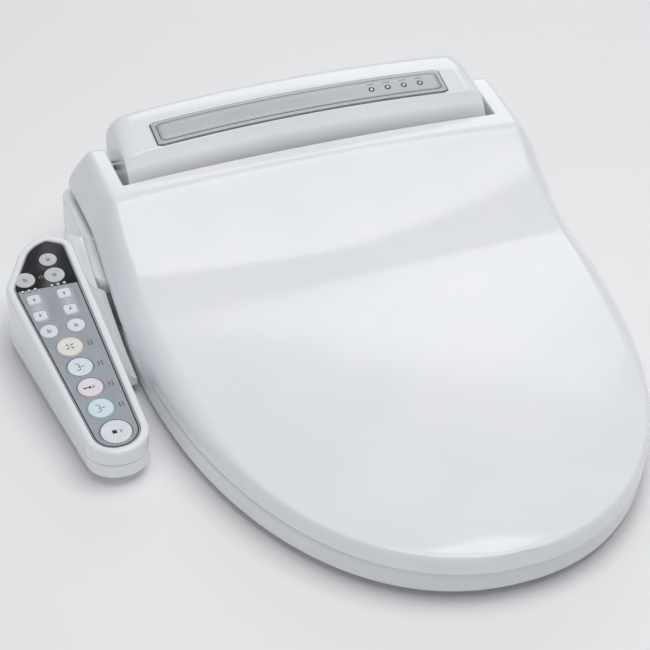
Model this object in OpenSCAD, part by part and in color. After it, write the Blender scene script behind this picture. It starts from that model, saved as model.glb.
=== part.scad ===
// Electric bidet seat: heated seat ring and lid on a rear body, with a control arm on the -X side.
// Origin midway between the two bowl bolts on the bowl's deck; -Y is the front, +Z is up.

/* [Lid] */
// Width of the lid across its widest line
lid_w = 374; // [310:1:450]
// Distance from the bolt line forward to the tip of the lid
lid_reach = 470; // [390:1:565]
// Distance from the bolt line forward to the lid's widest line
lid_wide_y = 136; // [120:1:150]
// Wall of the lid moulding
lid_wall = 3; // [2:0.1:3.5]
// Height of the lid's lower edge along the nose and the sides
lid_edge_z = 27.6; // [26.5:0.1:30]
// Height of the lid's side wall, from its lower edge to the facet
lid_side_h = 11; // [8:0.5:13]
// Height of the middle of the lid
lid_top_z = 58; // [52:0.5:66]
// Height of the shoulder where the top meets the side facet, along the sides
lid_shoulder_z = 56; // [52:0.5:60]
// Height of the edge where the top meets the nose wall
lid_nose_z = 43; // [41:0.5:46]
// Width of the facet beside the lid's top, seen from above
facet_w = 16; // [12:0.5:18]
// Width of the lid's ear beside the middle housing
ear_w = 29; // [27:0.5:33]
// Height of the top of the lid's ears
ear_top_z = 103; // [101:0.5:106]

/* [Seat] */
// Gap between the seat's side wall and the lid's outline
seat_inset = 0.5; // [0:0.1:2]
// Width of the seat ring at the front
ring_front = 85; // [70:1:95]
// Width of the seat ring at each side
ring_side = 80; // [60:1:90]
// Height of the crest of the seat
seat_crest_z = 38; // [35:0.5:40]
// Height of the seat's underside
seat_low_z = 7; // [6:0.5:8]
// Wall of the seat moulding
seat_wall = 3; // [2:0.1:3.5]
// Width of each hinge arm
seat_arm_w = 8; // [6:0.5:8]

/* [Body] */
// Distance from the bolt line back to the rear wall
rear_y = 54; // [50:1:65]
// Distance from the bolt line forward to the front wall
front_y = 62; // [60:1:63]
// How far the body stands out beyond the lid on each side
body_out = 7; // [5:0.5:12]
// Wall of the body mouldings
body_wall = 2.6; // [2:0.1:3]
// Height of the decks under the lid's ears
deck_z = 61; // [58:0.5:62]
// Height of the joint line between the base tray and the top case
parting_z = 30; // [29:0.5:34]
// Gap between the middle housing and the lid's ears
ear_gap = 6; // [4:0.5:8]
// Height of the front edge of the housing's top at its ends
housing_edge_z = 110.4; // [106:0.2:112]
// Height that the housing's top gains from its ends to its middle
housing_crown = 7.5; // [3:0.5:8]
// Diameter of the hinge pins
hinge_d = 8; // [6:0.5:8]

/* [Control arm] */
// Length of the control panel
panel_l = 230; // [190:1:276]
// Width of the control panel at its wide end
panel_w = 50; // [47:1:60]
// Forward tilt of the panel in degrees
panel_tilt = 8.4; // [6:0.2:10]
// Outward tilt of the panel in degrees
panel_lean = 2.3; // [0:0.1:4]
// Margin of the housing around the panel
arm_margin = 6.5; // [5:0.5:9]
// Height of the arm's underside
arm_low_z = 8; // [4:1:12]
// Diameter of the four round function keys
key_d = 21; // [17:0.5:21.5]
// Diameter of the stop key
stop_d = 25.4; // [21:0.2:27]
// Distance between the round keys
key_pitch = 23; // [22.5:0.5:23.5]

/* [Mounting and water] */
// Distance between the bowl bolts
bolt_spacing = 140; // [130:1:168]
// Width of the bolt slots
slot_w = 8.5; // [7:0.5:10]
// Length of the bolt slots
slot_l = 26; // [16:1:30]
// Diameter of the inlet thread
inlet_d = 20.95; // [16:0.05:24]
// Length of the inlet thread
inlet_l = 10; // [8:0.5:16]
// Diameter of each spray nozzle
nozzle_d = 11; // [9:0.5:11]
// Travel of each spray nozzle
nozzle_travel = 70; // [55:1:73]
// Downward tilt of the nozzles in degrees
nozzle_tilt = 15; // [12:1:16]

/* [Hidden] */

white = "#f2f3f5";
dark = "#2f3033";
steel = "#b8babd";
smooth_fn = 48;
tiny = 0.01;
slack = 0.3;

// Lid
lid_hw = lid_w / 2;
wide_y = -lid_wide_y;
nose = lid_reach - lid_wide_y;
ridge_y = -38;
sweep_y = -150;
ridge_h = 44;
ear_low_z = deck_z + 6;
ear_in = lid_hw - ear_w;
hinge_z = 88;
hinge_y = rear_y - 24;
hinge_r = hinge_d / 2;
pin_fit = 0.05;
ear_r = ear_top_z - hinge_z;
notch_y = -19.5;

// Body
body_hw = lid_hw + body_out;
house_hw = ear_in - ear_gap;
house_front = -11;
house_foot = notch_y + 3;
strip_front = -2;
strip_rear = 23;
strip_hw = house_hw - 29;
board_hw = house_hw - 44;
board_top = 90;
floor_z = 1;
floor_t = 2.4;

function clamp(t) = max(0, min(1, t));
function ease(t) = let (c = clamp(t)) c * c * (3 - 2 * c);
function mix(a, b, t) = a + (b - a) * t;

function flip(pts) = [for (i = [len(pts) - 1 : -1 : 0]) pts[i]];

// Faces of a skin through rings of n points each, closed at both ends.
function skin_faces(rings, n) = concat(
    [[for (i = [0 : n - 1]) n - 1 - i]],
    [for (r = [0 : rings - 2], i = [0 : n - 1]) let (j = (i + 1) % n)
        each [[r * n + i, r * n + j, (r + 1) * n + j], [r * n + i, (r + 1) * n + j, (r + 1) * n + i]]],
    [[for (i = [0 : n - 1]) (rings - 1) * n + i]]);

module skin(rings) {
    n = len(rings[0]);
    polyhedron(points = [for (r = rings) each r], faces = skin_faces(len(rings), n));
}

// Joins everything below it into one mesh at its own size.
module one_mesh() { resize([0, 0, 0]) children(); }

// Corner arcs for a convex outline given as [x, y, radius], moved outward by grow.
function unit(v) = v / norm(v);
function turned(v) = [v[1], -v[0]];
function corner(a, b, c, r, steps) =
    let (u = unit(a - b), v = unit(c - b), half = acos(u * v) / 2,
         centre = b + unit(u + v) * r / sin(half), n = turned(-u), sweep = 180 - 2 * half)
    [for (k = [0 : steps]) let (t = sweep * k / steps)
        centre + r * [n[0] * cos(t) - n[1] * sin(t), n[0] * sin(t) + n[1] * cos(t)]];
function grown(a, b, c, d) =
    let (u = unit(b - a), v = unit(c - b), n = turned(u), m = turned(v))
    b + d * (n + m) / (1 + n * m);
function outline(pts, d = 0, steps = 6) =
    let (n = len(pts), p = [for (q = pts) [q[0], q[1]]],
         g = [for (i = [0 : n - 1]) grown(p[(i + n - 1) % n], p[i], p[(i + 1) % n], d)])
    [for (i = [0 : n - 1])
        each corner(g[(i + n - 1) % n], g[i], g[(i + 1) % n], max(0.2, pts[i][2] + d), steps)];

// ---- Lid surface ----
function lid_half(y, inset = 0) = let (u = (wide_y - y) / (nose - inset))
    (lid_hw - inset) * (u <= 0 ? 1 : u >= 1 ? 0 : pow(1 - pow(u, 2.27), 1 / 2.15));
function side_rise(y) = ease((y + 112) / 100);
function lid_low(y) = mix(lid_edge_z, ear_low_z, side_rise(y));
function lid_wall_z(y) = mix(lid_edge_z + lid_side_h, ear_low_z + 5, side_rise(y));
function sweep_rise(y) = ridge_h * pow(clamp((y - sweep_y) / (ridge_y - sweep_y)), 2.2);
function ear_cap(y, r) = y <= hinge_y ? 1000
    : hinge_z + sqrt(max(0, r * r - pow(y - hinge_y, 2)));
function shoulder_z(y) = mix(lid_nose_z, lid_shoulder_z, ease((y + lid_reach - 70) / (nose - 80)))
    + sweep_rise(y) + 2 * clamp((y - ridge_y) / 60);
function middle_z(y) = let (u = clamp((wide_y - 64 - y) / (nose - 69)))
    mix(lid_nose_z, lid_top_z, pow(1 - pow(u, 2.5), 2 / 3)) + sweep_rise(y) + 4 * ease((y - sweep_y) / 112);
function facet_in(y) = mix(5, facet_w, ease((y + lid_reach - 110) / 150));
function shoulder_x(y, inset) = let (h = lid_half(y, inset))
    max(0.45 * h, (h > 1 ? lid_half(y, 5 + inset) : 0) - facet_in(y) + 5);
lid_steps = 12;
function lid_ring(y, inset) =
    let (h = lid_half(y, inset), s = shoulder_x(y, inset), cap = ear_cap(y, ear_r - inset),
         low = inset > 0 ? -5 : lid_low(y), w = lid_wall_z(y) - inset / 2,
         sz = min(shoulder_z(y) - inset, cap), mz = min(middle_z(y) - inset, cap),
         half = [for (k = [0 : lid_steps]) let (x = s * (1 - 2 * k / lid_steps))
             [x, y, mz - (mz - sz) * pow(abs(x) / s, 2.2)]],
         bulge = 1.5 * (1 - side_rise(y)))
    concat([[-h, y, low], [-h, y, w], [-mix(h, s, 0.3), y, mix(w, sz, 0.5) + bulge]],
        [for (k = [0 : lid_steps]) half[lid_steps - k]],
        [[mix(h, s, 0.3), y, mix(w, sz, 0.5) + bulge], [h, y, w], [h, y, low]]);
function lid_stations(inset) = concat(
    [for (k = [0 : 15]) wide_y - (nose - inset) * cos(6 * k) * 0.9985],
    [for (k = [1 : 12]) mix(wide_y, ridge_y, k / 12)],
    [for (k = [1 : 5]) mix(ridge_y, hinge_y, k / 5)],
    [for (k = [1 : 6]) hinge_y + (ear_r - inset) * sin(15 * k)]);
module lid_skin(inset) { skin([for (y = flip(lid_stations(inset))) lid_ring(y, inset)]); }

module lid_notch(grow = 0) {
    pts = [[-ear_in, notch_y, 10], [ear_in, notch_y, 10], [ear_in, 90, 1], [-ear_in, 90, 1]];
    linear_extrude(200) polygon(outline(pts, grow));
}

module lid() {
    color(white) difference() {
        one_mesh() difference() {
            lid_skin(0);
            difference() {
                lid_skin(lid_wall);
                for (s = [-1, 1]) scale([s, 1, 1]) translate([ear_in - 5, notch_y - lid_wall, 0])
                    cube([5 + lid_wall, 100, 200]);
            }
            lid_notch();
            for (s = [-1, 1]) translate([s * arm_x - seat_arm_w / 2 - 1, hinge_y + 5, 0])
                cube([seat_arm_w + 2, 20, hinge_z - 4]);
        }
        for (s = [-1, 1]) translate([s * (ear_in + lid_wall / 2), hinge_y, hinge_z]) rotate([0, 90, 0])
            cylinder(r = hinge_r + pin_fit, h = lid_wall + 2, center = true, $fn = smooth_fn);
        for (s = [-1, 1], p = bumper_at) translate([s * p[0], p[1], seat_crest_z])
            cylinder(r = stem_r + pin_fit, h = lid_under(p) + lid_wall / 2 - seat_crest_z, $fn = smooth_fn);
    }
}

// Rubber bumpers, whose stems sit in blind holes under the lid, and which rest on the seat's crest.
bumper_at = [[0.55 * lid_hw, -lid_reach + 105], [0.72 * lid_hw, wide_y - 20]];
bumper_r = 5;
stem_r = 2.4;
function lid_under(p) = middle_z(p[1]) - lid_wall
    - (middle_z(p[1]) - shoulder_z(p[1])) * pow(abs(p[0]) / shoulder_x(p[1], 0), 2.2);
module lid_bumpers() {
    low = seat_crest_z + slack;
    color(steel) for (s = [-1, 1], p = bumper_at) translate([s * p[0], p[1], low]) {
        cylinder(r = bumper_r, h = lid_under(p) - low - 1.2, $fn = smooth_fn);
        cylinder(r = stem_r, h = lid_under(p) - low + lid_wall / 2 - 0.3, $fn = smooth_fn);
    }
}

// ---- Seat ----
seat_hw = lid_hw - seat_inset;
seat_set_back = 6;
seat_front = -lid_reach + seat_inset + seat_set_back;
seat_rear = -front_y - 4;
hole_front = -lid_reach + ring_front;
hole_rear = seat_rear - 52;
hole_hw = seat_hw - ring_side;
arch_hw = 76;
arch_z = 28;
seat_n = 72;
function spow(v, e) = sign(v) * pow(abs(v), e);
function seat_out(a) = a < 180
    ? [seat_hw * spow(cos(a), 1 / 3), wide_y + (seat_rear - wide_y) * spow(sin(a), 1 / 3)]
    : [seat_hw * spow(cos(a), 2 / 2.15), wide_y + (wide_y - seat_front) * spow(sin(a), 2 / 2.27)];
hole_mid = [0, (hole_front + hole_rear) / 2];
hole_hl = (hole_rear - hole_front) / 2;
function seat_in(p) = let (d = unit(p - hole_mid))
    hole_mid + d / pow(pow(abs(d[0]) / hole_hw, 2.2) + pow(abs(d[1]) / hole_hl, 2.2), 1 / 2.2);
seat_angles = [for (k = [0 : seat_n - 1]) 360 * (k + 0.5) / seat_n];
function seat_floor(p) = mix(seat_low_z, arch_z, ease((arch_hw - abs(p[0])) / 12) * ease((p[1] - wide_y + 8) / 12));
// Distance from the rim and height along the section: first the outer half, then the inner half.
seat_rim = [[0, 0], [0, 22], [2.5, 26], [9, 30], [26, seat_crest_z - 0.7]];
seat_lip = [[24, seat_crest_z], [11, seat_crest_z - 3], [3.5, seat_crest_z - 8], [0, seat_crest_z - 14], [0, 0]];
function seat_point(out, in, part, rim, d, z) =
    let (u = unit(in - out), w = norm(in - out) - 50, q = rim ? out + u * min(d, w) : in - u * min(d, w))
    [q[0], q[1], z];
function seat_ring(a) =
    let (out = seat_out(a), in = seat_in(out), t = seat_wall, low = seat_floor(out), low_in = seat_floor(in),
         width = norm(in - out), u = unit(in - out), s = min(1, width / 54))
    concat(
        [for (q = seat_rim) let (p = out + u * q[0] * s) [p[0], p[1], max(q[1], low)]],
        [for (q = seat_lip) let (p = in - u * q[0] * s) [p[0], p[1], max(q[1], low_in)]],
        [for (k = [4 : -1 : 0]) let (q = seat_lip[k], p = in - u * (q[0] * s * 0.9 + t))
            [p[0], p[1], max(q[1] - (k < 4 ? t : 0), low_in)]],
        [for (k = [4 : -1 : 0]) let (q = seat_rim[k], p = out + u * (q[0] * s * 0.9 + t))
            [p[0], p[1], max(q[1] - (k > 0 ? t : 0), low)]]);
module seat_shell() {
    rings = [for (a = seat_angles) seat_ring(a)];
    n = len(rings[0]);
    polyhedron(points = [for (r = rings) each r],
        faces = [for (r = [0 : seat_n - 1], i = [0 : n - 1]) let (j = (i + 1) % n, q = (r + 1) % seat_n)
            each [[r * n + i, r * n + j, q * n + j], [r * n + i, q * n + j, q * n + i]]]);
}
arm_x = ear_in + lid_wall + 0.5 + seat_arm_w / 2;
module hinge_arm() {
    knuckle_r = hinge_r + 4.5;
    difference() {
        rotate([90, 0, 90]) linear_extrude(seat_arm_w, center = true) union() {
            translate([hinge_y, hinge_z]) circle(knuckle_r, $fn = smooth_fn);
            polygon([[hinge_y, hinge_z + knuckle_r], [-15, 94], [-42, 86], [-64, 70], [-84, 56], [-100, 31],
                [-84, 31], [-66, 46], [-52, 55], [-35, 69], [-15, 81], [hinge_y, hinge_z - knuckle_r]]);
        }
        translate([0, hinge_y, hinge_z]) rotate([0, 90, 0])
            cylinder(r = hinge_r + pin_fit, h = 30, center = true, $fn = smooth_fn);
    }
}
module seat_top() {
    color(white) {
        seat_shell();
        for (s = [-1, 1]) translate([s * arm_x, 0, 0]) hinge_arm();
    }
}
module seat_outline(d_out, d_in) {
    difference() {
        polygon([for (a = seat_angles) let (o = seat_out(a)) o + unit(seat_in(o) - o) * d_out]);
        polygon([for (a = seat_angles) let (o = seat_out(a), i = seat_in(o)) i - unit(i - o) * d_in]);
    }
}
base_up = 0.5;
base_t = 2.5;
foot_at = [[0.4 * lid_hw, -lid_reach + 62], [0.75 * lid_hw, wide_y - 40]];
foot_r = 9;
foot_stem_r = 4;
module seat_base() {
    color(white) translate([0, 0, seat_low_z + base_up]) linear_extrude(base_t) difference() {
        seat_outline(seat_wall + slack, seat_wall + slack);
        translate([-arch_hw, wide_y - 10]) square([2 * arch_hw, 200]);
        for (s = [-1, 1], p = foot_at) translate([s * p[0], p[1]]) circle(r = foot_stem_r + pin_fit, $fn = smooth_fn);
    }
}
module seat_heater() {
    color("#d08a4a") translate([0, 0, seat_crest_z - seat_wall - 3]) linear_extrude(0.6) difference() {
        seat_outline(30, 30);
        translate([-arch_hw, wide_y - 10]) square([2 * arch_hw, 200]);
    }
}
module seat_bumpers() {
    color("#c9cbcf") for (s = [-1, 1], p = foot_at) translate([s * p[0], p[1], 0]) {
        cylinder(r = foot_r, h = seat_low_z + base_up, $fn = smooth_fn);
        cylinder(r = foot_stem_r, h = seat_low_z + base_up + base_t + 0.5, $fn = smooth_fn);
    }
}

// ---- Body ----
module plan(grow, low, high) {
    pts = [[-body_hw, -front_y, 12], [body_hw, -front_y, 12], [body_hw, rear_y, 16], [-body_hw, rear_y, 16]];
    translate([0, 0, low]) linear_extrude(high - low) polygon(outline(pts, grow));
}

plate_hw = 108;
plate_lower_hw = 100;
plate_y0 = -40;
plate_y1 = rear_y - 10;
bay_z = 7.4;
nozzle_x = 12;
nozzle_z = 20;
dryer_x0 = -60;
dryer_w = 24;
dryer_z0 = 11;
dryer_h = 14;
filter_y = -52;
filter_w = 30;
filter_h = 20;
filter_z = 8;
inlet_y = 14;
inlet_z = 20;
gland_y = rear_y - 16;
gland_r = 6;
button_y = -10;
button_r = 5;
screw_at = [[body_hw - 14, rear_y - 12], [house_hw - 8, -front_y + 8]];

rack_z = nozzle_d / 2 + 1.6;
rack_hw = 2;
// The round bores that the nozzles slide in, with a slot above each for its rack.
module nozzle_ways(gap, y0, y1) {
    for (s = [-1, 1]) nozzle_space(s * nozzle_x) translate([0, y0, 0]) {
        rotate([-90, 0, 0]) cylinder(r = nozzle_d / 2 + gap, h = y1 - y0, $fn = smooth_fn);
        translate([-rack_hw - 0.4, 0, 0]) cube([2 * rack_hw + 0.8, y1 - y0, rack_z + 1.5]);
    }
}
module nozzle_space(x = 0) { translate([x, -front_y, nozzle_z]) rotate([nozzle_tilt, 0, 0]) children(); }
module along_x(r, x0, x1, y, z) {
    translate([x0, y, z]) rotate([0, 90, 0]) cylinder(r = r, h = x1 - x0, $fn = smooth_fn);
}

module base_tray() {
    t = floor_t;
    color(white) difference() {
        union() {
            difference() {
                plan(0, floor_z, parting_z);
                plan(-body_wall, floor_z + t, parting_z + 1);
            }
            translate([-plate_hw - 7, -46 - t, floor_z]) cube([2 * plate_hw + 14, rear_y + 46 + t - 1, bay_z + t - floor_z]);
            for (s = [-1, 1], p = screw_at) translate([s * p[0], p[1], floor_z]) cylinder(r = 4.5, h = parting_z - floor_z, $fn = smooth_fn);
            for (s = [-1, 1]) translate([s * 16, 0, 0]) intersection() {
                translate([-2, -front_y + 4, bay_z]) cube([4, 60, parting_z - bay_z]);
                nozzle_space() translate([-50, 0, -40]) cube([100, 100, 40 - nozzle_d / 2 - 2.5]);
            }
        }
        translate([-plate_hw - 4, -46, 3.3]) cube([2 * plate_hw + 8, rear_y + 60, bay_z - 3.3]);
        translate([-plate_lower_hw - 3, -46, 0]) cube([2 * plate_lower_hw + 6, rear_y + 60, 4]);
        for (s = [-1, 1], p = screw_at) translate([s * p[0], p[1], 0]) {
            cylinder(r = 2.05, h = 60, $fn = smooth_fn);
            cylinder(r = 3.8, h = 4, $fn = smooth_fn);
        }
        nozzle_ways(0.9, -15, 15);
        translate([dryer_x0 + 2, -front_y - 1, dryer_z0 + 2]) cube([dryer_w - 4, 6, dryer_h - 4]);
        translate([body_hw - 10, filter_y - slack, filter_z - slack]) cube([20, filter_w + 2 * slack, filter_h + 2 * slack]);
        along_x(inlet_d / 2 - 1.4, body_hw - 10, body_hw + 5, inlet_y, inlet_z);
        along_x(gland_r + pin_fit, body_hw - 10, body_hw + 5, gland_y, inlet_z);
        along_x(button_r + pin_fit, body_hw - 10, body_hw + 5, button_y, 12);
    }
}

// Section of the middle housing at x, set in by t; it leans in and drops at its ends.
function housing_ring(x, t, floor) =
    let (e = clamp((abs(x) - house_hw + 16) / 16), f = 1 - sqrt(1 - e * e * 0.98),
         c = housing_edge_z - t + housing_crown * (1 - pow(x / house_hw, 2)), d = 12 * f)
    [[x, -front_y + t, floor], [x, -front_y + t, 52 - t], [x, -50, 66 - t - d / 3], [x, -30, 81 - t - d / 3],
     [x, house_foot + t, 87 - t], [x, house_foot + t, 95 - f], [x, house_front + t, c - 4 - 3 * f],
     [x, house_front + 3 + t, c - 3 * f],
     [x, strip_front, c + 7 - 5 * f], [x, strip_rear, c + 12 - 9 * f], [x, rear_y - 13, c + 13.5 - d],
     [x, rear_y - 5 - t, c + 11 - 1.2 * d], [x, rear_y - 1.5 - t - f, c + 6 - 1.3 * d],
     [x, rear_y - t - f, c - 1.4 * d], [x, rear_y - t - f, floor]];
function housing_stations(t) = let (w = house_hw - t)
    concat([for (a = [0 : 18 : 90]) -w + 16 * (1 - cos(a))], [for (k = [-5 : 5]) k * (w - 16) / 6],
        [for (a = [90 : -18 : 0]) w - 16 * (1 - cos(a))]);
module housing(t, floor) { skin([for (x = housing_stations(t)) housing_ring(x, t, floor)]); }

cheek = [[-front_y, parting_z, 0.3], [rear_y, parting_z, 0.3], [rear_y, deck_z, 8], [-25, deck_z, 12],
    [-front_y, deck_z - 17, 4]];
module cheeks(t) {
    intersection() {
        rotate([90, 0, 90]) linear_extrude(2 * body_hw, center = true) polygon(outline(cheek, -t));
        plan(-t, parting_z - 1, deck_z + 1);
    }
}

// The display strip: a crowned bar in the housing's top.
function strip_ring(x, g, low, high) = let (c = housing_edge_z + housing_crown * (1 - pow(x / house_hw, 2)))
    [[x, strip_front - g, c + 7 + low - g * 0.2], [x, strip_front - g, c + 7 + high - g * 0.2],
     [x, strip_rear + g, c + 12 + high + g * 0.2], [x, strip_rear + g, c + 12 + low + g * 0.2]];
module strip(g, low, high) {
    w = strip_hw + g;
    skin([for (k = [-7 : 7]) strip_ring(w * k / 7, g, low, high)]);
}

module top_case() {
    color(white) difference() {
        one_mesh() difference() {
            union() {
                housing(0, parting_z);
                cheeks(0);
            }
            difference() {
                union() {
                    housing(body_wall + 0.2, parting_z - 5);
                    difference() {
                        cheeks(body_wall);
                        translate([-house_hw - 2, -100, 0]) cube([2 * house_hw + 4, 200, 200]);
                    }
                    plan(-body_wall, parting_z - 4, parting_z + 4);
                }
                for (s = [-1, 1]) along_x(12, min(s * (house_hw - 7), s * house_hw), max(s * (house_hw - 7), s * house_hw), hinge_y, hinge_z);
                for (s = [-1, 1]) for (p = screw_at) translate([s * p[0], p[1], parting_z])
                    cylinder(r = 4.5, h = 40, $fn = 24);
                for (x = [-1, 1] * (board_hw - 8), y = [-2, 36]) translate([x, y, board_top]) cylinder(r = 3, h = 60, $fn = 24);
            }
            strip(0.2, -1.6, 5);
            strip(-3, -8, 5);
        }
        for (s = [-1, 1]) along_x(hinge_r + pin_fit, min(0, s) * (house_hw + 9) + max(0, s) * (house_hw - 9),
            min(0, s) * (house_hw - 9) + max(0, s) * (house_hw + 9), hinge_y, hinge_z);
        for (s = [-1, 1], p = screw_at) translate([s * p[0], p[1], parting_z - 1])
            cylinder(r = 2.05, h = 16, $fn = smooth_fn);
        along_x(2.9, -body_hw - 1, -body_hw + 6, -48, 38);
    }
}

module display_bezel() {
    color("#b4b7bc") one_mesh() difference() {
        strip(0, -1.4, 0.4);
        strip(-4, -4, 3);
    }
}
module display_window() {
    color("#c9ccd1") one_mesh() difference() {
        strip(-4.2, -1.4, 0.1);
        for (x = light_x) translate([x, 10, 100]) cylinder(r = 3.2, h = 60, $fn = 32);
    }
}
light_x = [for (k = [0 : 3]) strip_hw - 62 + 14 * k];
function strip_z(x, y) = housing_edge_z + housing_crown * (1 - pow(x / house_hw, 2)) + 7 + (y - strip_front) * 0.2;
module indicator_lights() {
    color(steel) for (x = light_x) translate([x, 10, strip_z(x, 10) - 5])
        cylinder(r = 2.9, h = 5.4, $fn = smooth_fn);
}
module display_board() {
    z = housing_edge_z - 1.5;
    color("#2f7a4f") difference() {
        translate([-strip_hw + 8, strip_front + 4, z]) cube([2 * strip_hw - 16, 17, 1.6]);
        for (x = [-strip_hw + 14, strip_hw - 14]) translate([x, 10, z - 1]) cylinder(r = 1.6, h = 4, $fn = smooth_fn);
    }
    color(dark) for (x = light_x) translate([x - 2.5, 7.5, z + 1.6]) cube([5, 5, 3]);
}

board_t = 1.6;
// Blocks under the main board: [x, y, width, depth, height].
board_blocks = [[-70, 4, 20, 20, 12], [-44, 2, 14, 30, 8], [-24, 6, 32, 14, 6], [14, 2, 22, 22, 14], [42, 8, 12, 14, 9],
    [60, 4, 10, 30, 7]];
module main_board() {
    z = board_top - board_t;
    color("#2f7a4f") translate([-board_hw, -6, z]) cube([2 * board_hw, 48, board_t]);
    color(dark) for (b = board_blocks) translate([b[0], b[1], z - b[4]]) cube([b[2], b[3], b[4]]);
}
module power_supply() {
    color(steel) difference() {
        translate([-108, -57, 10]) cube([42, 32, 36]);
        for (k = [0 : 4]) translate([-104 + 8 * k, -53, 20]) cube([3, 24, 40]);
    }
}
module transformer() {
    x = -body_hw + 6;
    color("#6f7277") {
        translate([x, -36, floor_z + floor_t]) cube([32, 34, 34]);
        translate([x + 4, -42, floor_z + floor_t + 6]) cube([24, 46, 22]);
    }
}

hose_r = 3.5;
hose_bore = 2.2;
inner_z = bay_z + floor_t;
tank_x = 30;
tank = [house_hw - 70, 68, 48];
tank_y = -23;
tank_end = tank_x + tank[0];
tank_top = inner_z + tank[2];
heater_at = [tank_x + 24, tank_y + 40];
hot_y = 30;
cold_y = 18;
hose_z = 28;
valve_x = 48;
valve = [32, 26, 26];
valve_y = -56;
feed_at = [valve_x + valve[0] / 2, 26];
module water_tank() {
    color("#e3e4e6") difference() {
        translate([tank_x, tank_y, inner_z]) cube(tank);
        translate([tank_x + 2.5, tank_y + 2.5, inner_z + 2.5]) cube(tank - [5, 5, 5]);
        translate([heater_at[0], heater_at[1], tank_top - 5]) cylinder(r = 12, h = 10, $fn = smooth_fn);
        along_x(hose_r + pin_fit, tank_end - 6, tank_end + 6, hot_y, hose_z);
        translate([feed_at[0], tank_y - 3, feed_at[1]]) rotate([-90, 0, 0])
            cylinder(r = hose_r + pin_fit, h = 8, $fn = smooth_fn);
    }
}
// The immersion heater on its flange, and the cut-out thermostat beside it.
module tank_heater() {
    color(steel) translate([heater_at[0], heater_at[1], 0]) {
        translate([0, 0, tank_top]) cylinder(r = 16, h = 3, $fn = smooth_fn);
        for (s = [-1, 1]) translate([s * 7, 0, inner_z + 12]) cylinder(r = 3, h = tank[2] - 12, $fn = smooth_fn);
        translate([-10, -3, inner_z + 8]) cube([20, 6, 5]);
        for (s = [-1, 1]) translate([s * 7 - 2, -1, tank_top + 3]) cube([4, 2, 6]);
    }
    color(dark) translate([tank_end - 20, tank_y + 13, tank_top]) {
        cylinder(r = 9, h = 6, $fn = smooth_fn);
        for (s = [-1, 1]) translate([s * 5 - 2, -0.5, 6]) cube([4, 1, 6]);
    }
}
// The bush that the mains cord comes out of.
module power_gland() {
    color("#b8babd") difference() {
        union() {
            along_x(gland_r, body_hw - 6, body_hw + tiny, gland_y, inlet_z);
            along_x(gland_r + 2, body_hw, body_hw + 2.5, gland_y, inlet_z);
            along_x(gland_r - 1, body_hw + 2, body_hw + 12, gland_y, inlet_z);
        }
        along_x(3.5, body_hw - 8, body_hw + 14, gland_y, inlet_z);
    }
}
module inlet_fitting() {
    x = body_hw;
    color("#e8e8ea") difference() {
        union() {
            along_x(inlet_d / 2, x + 3 + tiny, x + 3 + inlet_l, inlet_y, inlet_z);
            along_x(inlet_d / 2 + 3.5, x, x + 3 + tiny, inlet_y, inlet_z);
            along_x(inlet_d / 2 - 1.6, x - 8, x + 1, inlet_y, inlet_z);
        }
        along_x(5, x - 9, x + 4 + inlet_l, inlet_y, inlet_z);
    }
}
module inlet_strainer() {
    x = body_hw;
    color("#5c8fb8") difference() {
        along_x(4.9, x - 2, x + 8, inlet_y, inlet_z);
        along_x(3.6, x - 3, x + 6.5, inlet_y, inlet_z);
    }
}
module inlet_valve() {
    x = body_hw - 8;
    color("#e8e8ea") difference() {
        translate([x - 32, inlet_y - 12, 6]) cube([32, 24, 38]);
        along_x(5, x - 6, x + 1, inlet_y, inlet_z);
        along_x(hose_r + pin_fit, x - 33, x - 26, cold_y, hose_z);
    }
    color("#3d6fa8") translate([x - 16, inlet_y, 44]) cylinder(r = 9, h = 9, $fn = smooth_fn);
}
module diverter_valve() {
    color("#e8e8ea") difference() {
        translate([valve_x, valve_y, inner_z]) cube(valve);
        translate([feed_at[0], valve_y + valve[1] - 3, feed_at[1]]) rotate([-90, 0, 0])
            cylinder(r = hose_r + pin_fit, h = 8, $fn = smooth_fn);
        along_x(2.55, valve_x - 5, valve_x + 6, -44, 16);
    }
    color(dark) translate([feed_at[0], valve_y + valve[1] / 2, inner_z + valve[2]])
        cylinder(r = 11, h = 14, $fn = smooth_fn);
}
// A straight hose along X from x0 to x1.
module hose(x0, x1, y, z, r = hose_r, bore = hose_bore) {
    difference() {
        along_x(r, x0, x1, y, z);
        along_x(bore, x0 - 1, x1 + 1, y, z);
    }
}
elbow_x = house_hw - 9;
module water_hoses() {
    valve_end = body_hw - 36;
    color("#d9d9d9") {
        hose(tank_end - 3, elbow_x + 1, hot_y, hose_z);
        hose(elbow_x + 5, valve_end, cold_y, hose_z);
        difference() {
            translate([elbow_x, cold_y - 3, hose_z - hose_r]) cube([6, hot_y - cold_y + 6, 2 * hose_r]);
            translate([elbow_x + 3, cold_y - 1, hose_z]) rotate([-90, 0, 0])
                cylinder(r = hose_bore, h = hot_y - cold_y + 2, $fn = smooth_fn);
            along_x(hose_bore, elbow_x - 1, elbow_x + 3, hot_y, hose_z);
            along_x(hose_bore, elbow_x + 3, elbow_x + 9, cold_y, hose_z);
        }
        translate([feed_at[0], valve_y + valve[1] - 2, feed_at[1]]) rotate([0, 0, 90])
            hose(0, tank_y - valve_y - valve[1] + 4, 0, 0);
        hose(nozzle_x + nozzle_d / 2 + 7 + 0.2, valve_x + 4, -44, 16, 2.5, 1.5);
    }
}

// ---- Nozzles ----
tooth = PI;
pinion_r = 6;
pinion_y = 18;
rack_teeth = ceil(nozzle_travel / tooth) + 5;
rack_start = pinion_y - 3 * tooth;
rack_l = rack_teeth * tooth;
tip_y = 3;
block_y = 4;
block_l = rack_start + rack_l + 4 - block_y;
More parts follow.
